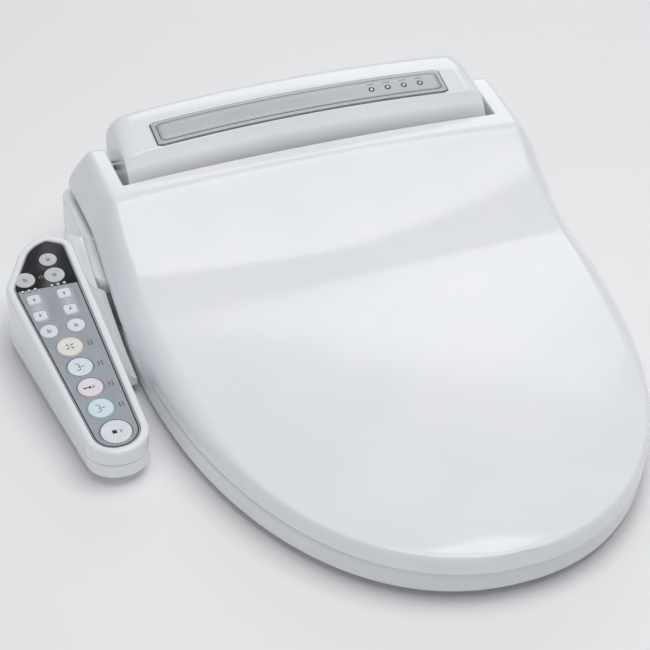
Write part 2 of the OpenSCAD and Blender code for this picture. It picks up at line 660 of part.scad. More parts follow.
// One straight-sided tooth about y, as points [y, z] above the pitch line.
function tooth_points(y) = [[y + 0.98, -0.95], [y + 0.42, 0.8], [y - 0.42, 0.8], [y - 0.98, -0.95]];
module rack() {
    rotate([90, 0, 90]) translate([rack_start, rack_z, -rack_hw]) linear_extrude(2 * rack_hw)
        polygon(concat([[0, -3], [rack_l, -3], [rack_l, -0.95]],
            [for (k = [rack_teeth - 1 : -1 : 0]) each tooth_points(tooth * (k + 0.5))], [[0, -0.95]]));
}
module nozzle_block() {
    r = nozzle_d / 2;
    color("#cfd2d6") difference() {
        nozzle_space() difference() {
            translate([-nozzle_x - r - 7, block_y, -r - 2.5]) cube([2 * (nozzle_x + r + 7), block_l, 2 * r + 5.5]);
            for (s = [-1, 1]) translate([s * nozzle_x - 3, pinion_y - 8, r - 1]) cube([6, 16, 20]);
        }
        nozzle_ways(pin_fit, 0, block_y + block_l + 10);
        translate([-60, -front_y - 10, 0]) cube([120, 14, 100]);
        translate([-60, rear_y - body_wall - 1, 0]) cube([120, 20, 100]);
    }
}
module nozzle(x) {
    r = nozzle_d / 2;
    nozzle_space(x) {
        difference() {
            union() {
                translate([0, tip_y, 0]) rotate([-90, 0, 0])
                    cylinder(r = r, h = rack_start + rack_l + 1 - tip_y, $fn = smooth_fn);
                rack();
            }
            translate([0, tip_y + 3, 0]) rotate([-90, 0, 0]) cylinder(r = 2.2, h = rack_l + 20, $fn = smooth_fn);
            translate([0, tip_y + 6, -20]) cylinder(r = 1.6, h = 20, $fn = smooth_fn);
        }
    }
}
module rear_nozzle() { color("#e6e7e9") nozzle(-nozzle_x); }
module front_nozzle() { color("#e6e7e9") nozzle(nozzle_x); }
module pinion(x) {
    color(white) nozzle_space(x) translate([0, pinion_y, rack_z + pinion_r]) difference() {
        rotate([90, 0, 90]) linear_extrude(2 * rack_hw, center = true) union() {
            circle(r = pinion_r - 0.9, $fn = smooth_fn);
            for (k = [0 : 11]) rotate(30 * k) polygon([[-0.95, -pinion_r + 1.3], [-0.4, -pinion_r - 0.75],
                [0.4, -pinion_r - 0.75], [0.95, -pinion_r + 1.3]]);
        }
        rotate([0, 90, 0]) cylinder(r = 1.5 + pin_fit, h = 10, center = true, $fn = smooth_fn);
    }
}
module rear_pinion() { pinion(-nozzle_x); }
module front_pinion() { pinion(nozzle_x); }
module nozzle_motors() {
    face = nozzle_x + nozzle_d / 2 + 7.2;
    color(steel) for (s = [-1, 1]) nozzle_space() translate([0, pinion_y, rack_z + pinion_r]) scale([s, 1, 1]) {
        along_x(10, face, face + 20, 0, 0);
        along_x(1.5, nozzle_x - 3, face + 1, 0, 0);
    }
}
module nozzle_escutcheon() {
    color("#d4d6da") difference() {
        translate([-24, -front_y - 2.2, 10.5]) cube([48, 2.2, 17]);
        nozzle_ways(0.9, -15, 15);
    }
}

// ---- Dryer ----
blower_x = -72;
blower_y = rear_y - body_wall - 37;
blower_r = 34;
module blower_housing() {
    z = inner_z;
    color("#dcdde0") difference() {
        union() {
            translate([blower_x, blower_y, z]) cylinder(r = blower_r, h = 30, $fn = smooth_fn);
            translate([dryer_x0, -front_y + body_wall, dryer_z0]) cube([dryer_w, blower_y + front_y, dryer_h]);
        }
        translate([blower_x, blower_y, z + 2]) cylinder(r = blower_r - 2, h = 26, $fn = smooth_fn);
        translate([dryer_x0 + 2, -front_y, dryer_z0 + 2]) cube([dryer_w - 4, blower_y + front_y - 4, dryer_h - 4]);
        translate([blower_x, blower_y, z + 20]) cylinder(r = 14, h = 20, $fn = smooth_fn);
    }
}
module blower_wheel() {
    z = inner_z + 4;
    color("#e8e8ea") translate([blower_x, blower_y, z]) difference() {
        union() {
            cylinder(r = 26, h = 2, $fn = smooth_fn);
            cylinder(r = 5, h = 18, $fn = smooth_fn);
            for (k = [0 : 23]) rotate(15 * k) translate([21, -0.5, 0]) rotate(25) cube([5, 1, 18]);
        }
        translate([0, 0, 4]) cylinder(r = 1.5 + pin_fit, h = 30, $fn = smooth_fn);
    }
}
module blower_motor() {
    z = inner_z;
    color(steel) translate([blower_x, blower_y, 0]) {
        translate([0, 0, z + 30]) cylinder(r = 16.5, h = 18, $fn = smooth_fn);
        translate([0, 0, z + 24]) cylinder(r = 11, h = 7, $fn = smooth_fn);
        translate([0, 0, z + 10]) cylinder(r = 1.5, h = 20, $fn = smooth_fn);
    }
}
module dryer_heater() {
    color("#b9793f") for (k = [0 : 3]) translate([dryer_x0 + 2, -44 + 5 * k, dryer_z0 + 2]) difference() {
        cube([dryer_w - 4, 2, dryer_h - 4]);
        for (j = [0 : 3]) translate([2 + 4.4 * j, -1, 2]) cube([2.4, 4, dryer_h - 8]);
    }
}
module dryer_flap() {
    y = -front_y - 1.6;
    color(white) {
        translate([dryer_x0 + 1, y - 0.6, dryer_z0 + 1]) cube([dryer_w - 2, 1.2, dryer_h - 0.5]);
        along_x(1.2, dryer_x0 + 1, dryer_x0 + dryer_w - 1, y, dryer_z0 + dryer_h + 1);
    }
}

// ---- Deodorizer ----
fan_x = house_hw - 32;
module deodorizer_housing() {
    z = inner_z;
    color("#dcdde0") difference() {
        translate([fan_x - 6, filter_y, z]) cube([21, filter_w, 20]);
        along_x(9, fan_x - 4, fan_x + 30, filter_y + filter_w / 2, z + 10);
        along_x(4, fan_x - 10, fan_x, filter_y + filter_w / 2, z + 10);
    }
}
module deodorizer_fan() {
    z = inner_z + 10;
    color(dark) translate([fan_x, filter_y + filter_w / 2, z]) {
        along_x(3, 0, 10, 0, 0);
        for (k = [0 : 6]) rotate([360 / 7 * k, 0, 0]) translate([2, -0.6, 2]) rotate([0, 0, 18]) cube([6, 1.2, 5.8]);
    }
}
module filter_cassette() {
    x0 = house_hw - 1;
    color("#dcdde0") difference() {
        translate([x0, filter_y, filter_z]) cube([body_hw - x0, filter_w, filter_h]);
        translate([x0 - 1, filter_y + 3, filter_z + 3]) cube([body_hw - x0 - 2, filter_w - 6, filter_h - 6]);
        translate([body_hw - 1.5, filter_y + filter_w / 2 - 8, filter_z + 7]) cube([3, 16, 6]);
    }
    color(dark) translate([x0 + 6, filter_y + 3, filter_z + 3]) cube([14, filter_w - 6, filter_h - 6]);
}

// ---- Hinges ----
module hinge_pins() {
    color(steel) for (s = [-1, 1]) scale([s, 1, 1])
        along_x(hinge_r, house_hw - 24, arm_x + seat_arm_w / 2 - 0.5, hinge_y, hinge_z);
}
module dampers() {
    color("#4a4d52") for (s = [-1, 1]) scale([s, 1, 1]) difference() {
        union() {
            along_x(10.5, house_hw - 38, house_hw - 10, hinge_y, hinge_z);
            along_x(12, house_hw - 10, house_hw - 7, hinge_y, hinge_z);
        }
        along_x(hinge_r + pin_fit, house_hw - 24.5, house_hw, hinge_y, hinge_z);
    }
}

// ---- Control arm ----
panel_x = -body_hw - 44;
panel_mid = -142;
panel_z = 52.1;
rim_h = 1.5;
film_t = 0.5;
deck_t = 2;
hl = panel_l / 2;
// Panel outline in its own plane: straight inner edge, tapering outer edge, cut rear corner.
panel = [[25, hl - 8, 7], [13, hl, 6], [-2, hl - 4, 26], [25 - panel_w, hl - 44, 12], [25 - panel_w, hl - 56, 14],
    [-10.5, -hl, 17], [25, -hl, 18]];
module panel_space() {
    translate([panel_x, panel_mid, panel_z]) rotate([panel_tilt, -panel_lean, 0]) children();
}
module panel_slab(grow, low, high) {
    translate([0, 0, low]) linear_extrude(high - low) polygon(outline(panel, grow));
}
arm_split_z = 22;
module arm_body(grow, top, low, high) {
    intersection() {
        panel_space() panel_slab(grow, -80, top);
        translate([-400, -400, low]) cube([400, 500, high - low]);
    }
}
// The web between the arm and the body's side: high at the rear, dipping beside the seat.
root_x = body_hw + 13;
function panel_height(x, y) = panel_z + (y - panel_mid) * tan(panel_tilt) + (x - panel_x) * tan(panel_lean);
function root_in(y) = y < -front_y ? -lid_hw - 2.5 : -body_hw;
function root_in_z(y) = mix(14, 62, pow(clamp((y + 152) / 134), 1.6));
function root_ring(y) =
    let (a = root_in(y), b = -root_x - 2, za = root_in_z(y), zb = panel_height(b, y) - 1, low = arm_low_z)
    concat([[b, y, low], [b, y, zb]],
        [for (k = [1 : 5]) let (t = k / 6) [mix(b, a, t), y, mix(zb, za, 1 - pow(1 - t, 1.8))]],
        [[a, y, za], [a, y, low]]);
root_stations = concat([for (k = [0 : 8]) mix(-152, -front_y - tiny, k / 8)], [for (k = [0 : 4]) mix(-front_y, -20, k / 4)]);
module arm_root() { skin([for (y = flip(root_stations)) root_ring(y)]); }

key_small = 14;
key_level = 16;
// Round keys: [x, y, diameter] in the panel's plane.
function fn_key(k) = [-1.5 + 1.35 * k, -4 - key_pitch * k, key_d];
top_key_at = [8.5, hl - 21.6, key_small];
left_level_at = [-14.7, hl - 38.3, key_level];
right_level_at = [8.7, hl - 39.6, key_level];
left_mode_at = [-12, 17, key_small];
right_mode_at = [9.3, 17, key_small];
stop_at = [6.5, 15.5 - hl, stop_d];
round_keys = concat([top_key_at, left_level_at, right_level_at, left_mode_at, right_mode_at],
    [for (k = [0 : 3]) fn_key(k)], [stop_at]);
rocker = 11.5;
rocker_at = [for (s = [-1, 1], k = [1, 0]) [s * 12 - 1.8, 35 + 18.5 * k]];
led_at = [for (x = [-14.7, 8.7], k = [-1 : 1]) [x + 5 * k, hl - 50.6]];

module rocker_outline(g) {
    w = rocker + 2 * g;
    translate([-w / 2, -w / 2]) polygon(outline([[0, 0, 3], [w, 0, 3], [w, w, 3], [0, w, 3]], 0, 4));
}
module key_holes(low, high, g) {
    for (k = round_keys) translate([k[0], k[1], low]) cylinder(d = k[2] + 2 * g, h = high - low, $fn = smooth_fn);
    for (p = rocker_at) translate([p[0], p[1], low]) linear_extrude(high - low) rocker_outline(g);
    for (p = led_at) translate([p[0], p[1], low]) cylinder(r = 1.4, h = high - low, $fn = smooth_fn);
}
module arm_upper_case() {
    color(white) difference() {
        union() {
            difference() {
                arm_body(arm_margin, rim_h, arm_split_z, 200);
                arm_body(arm_margin - 2.5, -deck_t, arm_split_z - 1, 200);
            }
            difference() {
                arm_root();
                arm_body(arm_margin - 1.5, 40, 0, 200);
            }
        }
        panel_space() {
            panel_slab(0.2, 0, 20);
            key_holes(-20, 20, slack);
        }
        along_x(2.9, -root_x - 20, -body_hw + 10, -48, 38);
    }
}
module arm_lower_case() {
    color(white) difference() {
        arm_body(arm_margin, 0, arm_low_z, arm_split_z);
        arm_body(arm_margin - 2.5, 0, arm_low_z + 2.5, arm_split_z + 1);
        difference() {
            arm_root();
            arm_body(arm_margin - 1.5, 40, 0, 200);
        }
    }
}
module control_film() {
    color("#a9adb4") panel_space() difference() {
        panel_slab(0, 0, film_t);
        key_holes(-5, 5, slack);
    }
}
board_z = -9;
module control_board() {
    color("#2f7a4f") panel_space() {
        translate([0, 0, board_z]) linear_extrude(1.6)
            polygon([[-20, 20 - hl / 2], [-6, 8 - hl], [20, 8 - hl], [20, hl - 14], [4, hl - 14], [-20, hl - 38]]);
        for (k = round_keys) translate([k[0], k[1], board_z + 1.6]) cylinder(r = 2.5, h = 0.7, $fn = smooth_fn);
        for (p = rocker_at) translate([p[0], p[1], board_z + 1.6]) cylinder(r = 2.5, h = 0.7, $fn = smooth_fn);
    }
    color("#d8e8d0") panel_space() for (p = led_at) translate([p[0], p[1], board_z + 1.6])
        cylinder(r = 1.15, h = film_t - board_z - 1.6, $fn = smooth_fn);
    color(dark) along_x(2.5, -root_x - 6, -body_hw + 12, -48, 38);
}
key_top = 1.3;
module round_key(k, shade) {
    color(shade) panel_space() translate([k[0], k[1], 0]) {
        translate([0, 0, -deck_t - 1.8]) cylinder(d = k[2], h = deck_t + 1.8 + key_top, $fn = smooth_fn);
        translate([0, 0, -deck_t - 1.8]) cylinder(d = k[2] + 1.6, h = 1.2, $fn = smooth_fn);
        translate([0, 0, board_z + 3]) cylinder(r = 2, h = 6, $fn = smooth_fn);
    }
}
module rocker_key(k) {
    p = rocker_at[k];
    color("#e4e6ea") panel_space() translate([p[0], p[1], 0]) {
        translate([0, 0, -deck_t - 1.8]) linear_extrude(deck_t + 1.8 + key_top) rocker_outline(0);
        translate([0, 0, -deck_t - 1.8]) linear_extrude(1.2) rocker_outline(0.8);
        translate([0, 0, board_z + 3]) cylinder(r = 2, h = 6, $fn = smooth_fn);
    }
}
module top_key() { round_key(top_key_at, steel); }
module left_level_key() { round_key(left_level_at, steel); }
module right_level_key() { round_key(right_level_at, steel); }
module left_up_key() { rocker_key(0); }
module left_down_key() { rocker_key(1); }
module right_up_key() { rocker_key(2); }
module right_down_key() { rocker_key(3); }
module left_mode_key() { round_key(left_mode_at, white); }
module right_mode_key() { round_key(right_mode_at, white); }
module dry_key() { round_key(fn_key(0), "#f3ecd0"); }
module wash_key() { round_key(fn_key(1), "#cfe0f2"); }
module bidet_key() { round_key(fn_key(2), "#f0d5e4"); }
module soft_key() { round_key(fn_key(3), "#cdeaf2"); }
module stop_key() { round_key(stop_at, "#e2e4e8"); }

// ---- Mounting ----
module mounting_plate() {
    color("#dcdde0") difference() {
        union() {
            translate([-plate_lower_hw, plate_y0, 0]) cube([2 * plate_lower_hw, plate_y1 - plate_y0, 4]);
            translate([-plate_hw, plate_y0, 3.6]) cube([2 * plate_hw, plate_y1 - plate_y0, 3.4]);
        }
        for (s = [-1, 1]) translate([s * bolt_spacing / 2, 0, -1]) {
            for (e = [-1, 1]) translate([e * (slot_l - slot_w) / 2, 0, 0]) cylinder(d = slot_w, h = 10, $fn = smooth_fn);
            translate([-(slot_l - slot_w) / 2, -slot_w / 2, 0]) cube([slot_l - slot_w, slot_w, 10]);
        }
    }
}
module release_button() {
    color("#b8babd") {
        along_x(button_r, body_hw - 12, body_hw + 3, button_y, 12);
        along_x(button_r + 1.5, body_hw - 12, body_hw - 9, button_y, 12);
    }
}

base_tray();
top_case();
display_bezel();
display_window();
indicator_lights();
display_board();
main_board();
power_supply();
transformer();
water_tank();
tank_heater();
power_gland();
inlet_fitting();
inlet_strainer();
inlet_valve();
diverter_valve();
water_hoses();
nozzle_block();
nozzle_escutcheon();
rear_nozzle();
front_nozzle();
rear_pinion();
front_pinion();
nozzle_motors();
blower_housing();
blower_wheel();
blower_motor();
dryer_heater();
dryer_flap();
deodorizer_housing();
deodorizer_fan();
filter_cassette();
hinge_pins();
dampers();
lid();
lid_bumpers();
seat_top();
seat_base();
seat_heater();
seat_bumpers();
arm_upper_case();
arm_lower_case();
control_film();
control_board();
top_key();
left_level_key();
right_level_key();
left_up_key();
left_down_key();
right_up_key();
right_down_key();
left_mode_key();
right_mode_key();
dry_key();
wash_key();
bidet_key();
soft_key();
stop_key();
mounting_plate();
release_button();
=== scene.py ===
import math

import bmesh
import bpy
from mathutils import Matrix, Vector


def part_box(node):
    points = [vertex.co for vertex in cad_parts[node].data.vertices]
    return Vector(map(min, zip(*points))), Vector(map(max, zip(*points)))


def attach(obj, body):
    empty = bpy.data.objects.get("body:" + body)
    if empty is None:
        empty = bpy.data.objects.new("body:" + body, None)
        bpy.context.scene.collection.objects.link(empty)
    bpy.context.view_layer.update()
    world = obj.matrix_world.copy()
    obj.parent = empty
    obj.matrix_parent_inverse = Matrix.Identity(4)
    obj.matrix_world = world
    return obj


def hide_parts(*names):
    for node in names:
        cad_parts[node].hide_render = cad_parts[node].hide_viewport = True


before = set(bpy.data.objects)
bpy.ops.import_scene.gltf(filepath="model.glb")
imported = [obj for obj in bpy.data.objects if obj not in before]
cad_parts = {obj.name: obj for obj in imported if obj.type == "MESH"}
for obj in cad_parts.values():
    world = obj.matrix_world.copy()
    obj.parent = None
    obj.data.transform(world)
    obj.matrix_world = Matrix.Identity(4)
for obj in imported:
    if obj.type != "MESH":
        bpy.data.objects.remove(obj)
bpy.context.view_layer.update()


# ---- White ABS ----
# Every outer moulding is glossy white ABS, injected into polished steel moulds.
# To the eye it is a clean, faintly blue white with a clear reflection and a barely wavy skin.
MM = 0.001


def colour(hex_code):
    """An sRGB hex colour as linear RGBA."""
    parts = [int(hex_code[i:i + 2], 16) / 255 for i in (1, 3, 5)]
    return [c / 12.92 if c <= 0.04045 else ((c + 0.055) / 1.055) ** 2.4 for c in parts] + [1.0]


def add(tree, kind, links=None, **settings):
    """Adds one node: settings are its properties, links its sockets' values or incoming sockets."""
    made = tree.nodes.new(kind)
    for key, value in settings.items():
        setattr(made, key, value)
    for socket, value in (links or {}).items():
        if isinstance(value, bpy.types.NodeSocket):
            tree.links.new(value, made.inputs[socket])
        else:
            made.inputs[socket].default_value = value
    return made


def moulded(name, light, deep, patch_mm, rough, spread, peel_mm, peel, ior=1.54, **fixed):
    """A moulded or printed surface: two close colours in soft patches, and a skin that is slightly uneven."""
    made = bpy.data.materials.new(name)
    made.use_nodes = True
    tree = made.node_tree
    shader = tree.nodes["Principled BSDF"]
    place = add(tree, "ShaderNodeTexCoord").outputs["Object"]
    patch = add(tree, "ShaderNodeTexNoise", {"Vector": place, "Scale": 1 / (patch_mm * MM), "Detail": 3.0})
    ramp = add(tree, "ShaderNodeValToRGB", {"Fac": patch.outputs["Fac"]})
    ramp.color_ramp.elements[0].position = 0.35
    ramp.color_ramp.elements[0].color = colour(deep)
    ramp.color_ramp.elements[1].position = 0.65
    ramp.color_ramp.elements[1].color = colour(light)
    skin = add(tree, "ShaderNodeTexNoise", {"Vector": place, "Scale": 1 / (peel_mm * MM), "Detail": 2.0})
    gloss = add(tree, "ShaderNodeMapRange", {
        "Value": skin.outputs["Fac"], "To Min": rough - spread, "To Max": rough + spread})
    bump = add(tree, "ShaderNodeBump",
               {"Height": skin.outputs["Fac"], "Strength": peel, "Distance": 0.1 * MM})
    tree.links.new(ramp.outputs["Color"], shader.inputs["Base Color"])
    tree.links.new(gloss.outputs["Result"], shader.inputs["Roughness"])
    tree.links.new(bump.outputs["Normal"], shader.inputs["Normal"])
    shader.inputs["IOR"].default_value = ior
    for socket, value in fixed.items():
        shader.inputs[socket.replace("_", " ")].default_value = value
    return made


white_abs = moulded("white_abs_polished_mould", "#f6f7fa", "#f1f3f7", 90, 0.13, 0.02, 9, 0.04)
inner_abs = moulded("white_abs_satin_mould", "#eceef1", "#e3e5e9", 60, 0.34, 0.05, 1.2, 0.12)


def cad_finish(material, *nodes):
    """Gives carried-over CAD nodes their real material."""
    for name in nodes:
        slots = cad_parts[name].data.materials
        slots.clear()
        slots.append(material)


def piece(name, points, faces, material, body, smooth_deg=35, replaces=()):
    """A mesh piece from points in millimetres; it rides on a CAD body and may stand for CAD nodes."""
    mesh = bpy.data.meshes.new(name)
    mesh.from_pydata([Vector(p) * MM for p in points], [], faces)
    shaped = bmesh.new()
    shaped.from_mesh(mesh)
    bmesh.ops.recalc_face_normals(shaped, faces=shaped.faces)
    shaped.to_mesh(mesh)
    shaped.free()
    mesh.shade_smooth()
    mesh.set_sharp_from_angle(angle=math.radians(smooth_deg))
    mesh.materials.append(material)
    made = bpy.data.objects.new(name, mesh)
    bpy.context.scene.collection.objects.link(made)
    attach(made, body)
    if replaces:
        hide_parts(*replaces)
    return made


def modify(made, kind, **settings):
    """Adds a modifier with its settings."""
    modifier = made.modifiers.new(kind.lower(), kind)
    for key, value in settings.items():
        setattr(modifier, key, value)


def clamp(t):
    return max(0.0, min(1.0, t))


def ease(t):
    c = clamp(t)
    return c * c * (3 - 2 * c)


def mix(a, b, t):
    return a + (b - a) * t


def grid_faces(rows, columns, closed_rows=False, closed_columns=False, skip=lambda r, c: False):
    """Quads between rows of points, each row holding the same number of columns."""
    found = []
    for r in range(rows if closed_rows else rows - 1):
        for c in range(columns if closed_columns else columns - 1):
            if not skip(r, c):
                r2, c2 = (r + 1) % rows, (c + 1) % columns
                found.append([r * columns + c, r * columns + c2, r2 * columns + c2, r2 * columns + c])
    return found


# ---- Lid ----
# One thin injection moulding: a gently crowned top that sweeps up behind to a ridge, a soft facet and
# a side wall all round, and two ears that wrap the hinges on either side of the middle housing.
lid_low, lid_high = ([v / MM for v in corner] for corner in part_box("lid"))
lid_hw, lid_front = lid_high[0], -lid_low[1]
wide_y, ridge_y, sweep_y, notch_y = -136, -38, -150, -19.5
nose = lid_front + wide_y
ear_in = lid_hw - 29
hinge_y, hinge_z, ear_r, lid_wall = 30, 88, 15, 3


def lid_half(y, inset=0.0):
    u = (wide_y - y) / (nose - inset)
    if u <= 0:
        return lid_hw - inset
    return 0 if u >= 1 else (lid_hw - inset) * (1 - u ** 2.27) ** (1 / 2.15)


def side_rise(y):
    return ease((y + 112) / 100)


def sweep_rise(y):
    return 44 * clamp((y - sweep_y) / (ridge_y - sweep_y)) ** 2.2


def shoulder_z(y):
    along = ease((y + lid_front - 70) / (nose - 80))
    return mix(43, 56, along) + sweep_rise(y) + 2 * clamp((y - ridge_y) / 60)


def middle_z(y):
    u = clamp((wide_y - 64 - y) / (nose - 69))
    return mix(43, 58, (1 - u ** 2.5) ** (2 / 3)) + sweep_rise(y) + 4 * ease((y - sweep_y) / 112)


def shoulder_x(y):
    facet = mix(5, 16, ease((y + lid_front - 110) / 150))
    return max(0.45 * lid_half(y), lid_half(y, 5) - facet + 5)


across = [1, 0.985, 0.96, ear_in / (lid_hw - 16), 0.88, 0.72, 0.5, 0.25, 0]
ear_columns = 4


def lid_side(y):
    """The right half of the lid's section at y as (x, z), from the lower edge to the middle."""
    h, s = lid_half(y), shoulder_x(y)
    low = mix(27.6, 67, side_rise(y))
    wall = mix(38.6, 72, side_rise(y))
    cap = hinge_z + math.sqrt(max(0, ear_r ** 2 - (y - hinge_y) ** 2)) if y > hinge_y else 1000
    sz, mz = min(shoulder_z(y), cap), min(middle_z(y), cap)
    bulge = 1.5 * (1 - side_rise(y))
    rise = sz - wall
    soft = [(h, low), (h, low + 1.2), (h, wall - 2.5), (mix(h, s, 0.04), wall + 0.12 * rise),
            (mix(h, s, 0.3), wall + 0.5 * rise + bulge),
            (mix(h, s, 0.72), wall + 0.84 * rise + 0.5 * bulge)]
    return soft + [(s * f, mz - (mz - sz) * f ** 2.2) for f in across]


stations = [wide_y - nose * math.cos(math.radians(3.75 * k)) * 0.9985 for k in range(24)]
stations += [mix(wide_y, ridge_y, k / 14) for k in range(0, 15)]
stations += [-31, notch_y - 1, notch_y, -14, -4, 8, 20, hinge_y]
stations += [hinge_y + ear_r * math.sin(math.radians(15 * k)) for k in range(1, 7)]
lid_points = []
for y in stations:
    side = lid_side(y)
    lid_points += [(-x, y, z) for x, z in side] + [(x, y, z) for x, z in side[-2::-1]]
half_count = len(lid_side(0))
ring_count = 2 * half_count - 1
notch_row = stations.index(notch_y)
ear_edge = half_count - len(across) + ear_columns - 1


def in_notch(r, c):
    return r >= notch_row and ear_edge <= c < ring_count - 1 - ear_edge


lid_faces = grid_faces(len(stations), ring_count, skip=in_notch)
lid_faces += [[i, i + 1, ring_count - 2 - i, ring_count - 1 - i] for i in range(half_count - 1)]
for edge in (ear_edge, ring_count - 1 - ear_edge):
    inner = []
    for r in range(notch_row, len(stations)):
        x, y, z = lid_points[r * ring_count + edge]
        inner.append([r * ring_count + edge, len(lid_points), len(lid_points) + 1])
        lid_points += [(x, y, z - 2), (x, y, mix(27.6, 67, side_rise(y)))]
    for one, two in zip(inner, inner[1:]):
        lid_faces += [[one[0], two[0], two[1], one[1]], [one[1], two[1], two[2], one[2]]]
lid = piece("lid_shell", lid_points, lid_faces, white_abs, "lid", 60, ["lid"])
modify(lid, "SOLIDIFY", thickness=lid_wall * MM, offset=-1, use_even_offset=True, thickness_clamp=1.0)
modify(lid, "SUBSURF", levels=2, render_levels=2)

# The closed backs of the lid's two ears: flat plates with a slot that clears the seat's hinge arm.
slot_in, slot_out, slot_top = ear_in + 2.5, ear_in + 12.5, 84
back_y, back_t = hinge_y + ear_r, 2.4
for sign, name in ((-1, "lid_ear_back_left"), (1, "lid_ear_back_right")):
    rim = [p for p in lid_side(back_y)[:ear_edge + 1]]
    rim = [(x - 0.4 if x > lid_hw - 1 else x, z - 0.3 if z > 80 else z) for x, z in rim]
    rim += [(ear_in, 67), (slot_in, 67), (slot_in, slot_top), (slot_out, slot_top), (slot_out, 67)]
    count = len(rim)
    points = [(sign * x, y, z) for y in (back_y - 0.3, back_y - 0.3 - back_t) for x, z in rim]
    faces = [list(range(count)), list(range(2 * count - 1, count - 1, -1))]
    faces += [[i, (i + 1) % count, count + (i + 1) % count, count + i] for i in range(count)]
    piece(name, points, faces, white_abs, "lid")


# ---- Seat ----
# The heated ring: a hollow ABS shell with a crowned top that dips to the hole, on two hinge arms that
# run up inside the lid's ears. Its rear is arched so that the nozzles pass below it, 3 mm higher than in
# the solid, because the thickened shell's edge would touch them.
seat_hw, seat_front, seat_rear = lid_hw - 0.5, -lid_front + 6.5, -66
hole_front, hole_rear, hole_hw = -lid_front + 85, seat_rear - 52, lid_hw - 80.5
crest, seat_under, arch_hw, arch_z, seat_wall = 38, 7, 76, 31, 3
hole_mid = (hole_front + hole_rear) / 2
hole_hl = (hole_rear - hole_front) / 2


def signed_power(v, e):
    return math.copysign(abs(v) ** e, v)


def seat_out(a):
    c, s = math.cos(a), math.sin(a)
    if s > 0:
        return Vector((seat_hw * signed_power(c, 1 / 3),
                       wide_y + (seat_rear - wide_y) * signed_power(s, 1 / 3)))
    return Vector((seat_hw * signed_power(c, 2 / 2.15),
                   wide_y + (wide_y - seat_front) * signed_power(s, 2 / 2.27)))


def seat_in(p):
    d = (p - Vector((0, hole_mid))).normalized()
    reach = ((abs(d.x) / hole_hw) ** 2.2 + (abs(d.y) / hole_hl) ** 2.2) ** (-1 / 2.2)
    return Vector((0, hole_mid)) + d * reach


def seat_floor(p):
    return mix(seat_under, arch_z, ease((arch_hw - abs(p.x)) / 12) * ease((p.y - wide_y + 8) / 12))


rim_path = [(0, 0), (0, 1), (0, 12), (0, 21), (0.7, 24.2), (2.6, 26.6), (9, 30), (17, 34.4),
            (26, crest - 0.7)]
lip_path = [(24, crest), (17, crest - 1.2), (11, crest - 3), (6.6, crest - 5.4), (3.2, crest - 8.4),
            (0.9, crest - 12), (0, crest - 17), (0, 1), (0, 0)]
seat_points = []
seat_turns = 144
# Points cut off by the arch are stacked this far apart, so that no face there has zero area.
edge_step = 0.03
for k in range(seat_turns):
    out = seat_out(2 * math.pi * (k + 0.5) / seat_turns)
    into = seat_in(out)
    toward = (into - out).normalized()
    narrow = min(1, (into - out).length / 54)
    section = [(out + toward * d * narrow, max(z, seat_floor(out) + edge_step * j))
               for j, (d, z) in enumerate(rim_path)]
    section += [(into - toward * d * narrow, max(z, seat_floor(into) + edge_step * (len(lip_path) - j)))
                for j, (d, z) in enumerate(lip_path)]
    seat_points += [(p.x, p.y, z) for p, z in section]
seat_faces = grid_faces(seat_turns, len(rim_path) + len(lip_path), closed_rows=True)
seat = piece("seat_ring", seat_points, seat_faces, white_abs, "seat", 60, ["seat_top"])
modify(seat, "SOLIDIFY", thickness=seat_wall * MM, offset=-1, use_even_offset=False)
modify(seat, "SUBSURF", levels=1, render_levels=1)

arm_path = [(-15, 94), (-42, 86), (-64, 70), (-84, 56), (-100, 31), (-84, 31), (-66, 46), (-52, 55), (-35, 69),
            (-15, 81)]
knuckle_r, arm_w = 8.5, 8
knuckle = [(hinge_y + knuckle_r * math.sin(math.radians(a)),
            hinge_z - knuckle_r * math.cos(math.radians(a)))
           for a in range(0, 181, 12)]
for sign, name in ((-1, "hinge_arm_left"), (1, "hinge_arm_right")):
    flat = arm_path + knuckle
    count = len(flat)
    middle = ear_in + lid_wall + 0.5 + arm_w / 2
    points = [(sign * (middle + e * arm_w / 2), y, z) for e in (-1, 1) for y, z in flat]
    faces = [list(range(count)), list(range(2 * count - 1, count - 1, -1))]
    faces += [[i, (i + 1) % count, count + (i + 1) % count, count + i] for i in range(count)]
    arm = piece(name, points, faces, white_abs, "seat")
    modify(arm, "BEVEL", width=0.8 * MM, segments=3, limit_method="ANGLE")


# ---- Rear body ----
# The top case is one ABS moulding: a middle housing with a crowned back and sloping front, and a lower
# cheek on each side whose flat deck lies under the lid's ears.
body_hw, rear_y, front_y, parting_z, deck_z = lid_hw + 7, 54, 62, 30, 61
house_hw, edge_z, crown, house_front, house_foot = ear_in - 6, 110.4, 7.5, -11, notch_y + 3
strip_front, strip_rear, strip_hw = -2, 23, house_hw - 29


def crown_z(x):
    return edge_z + crown * (1 - (x / house_hw) ** 2)


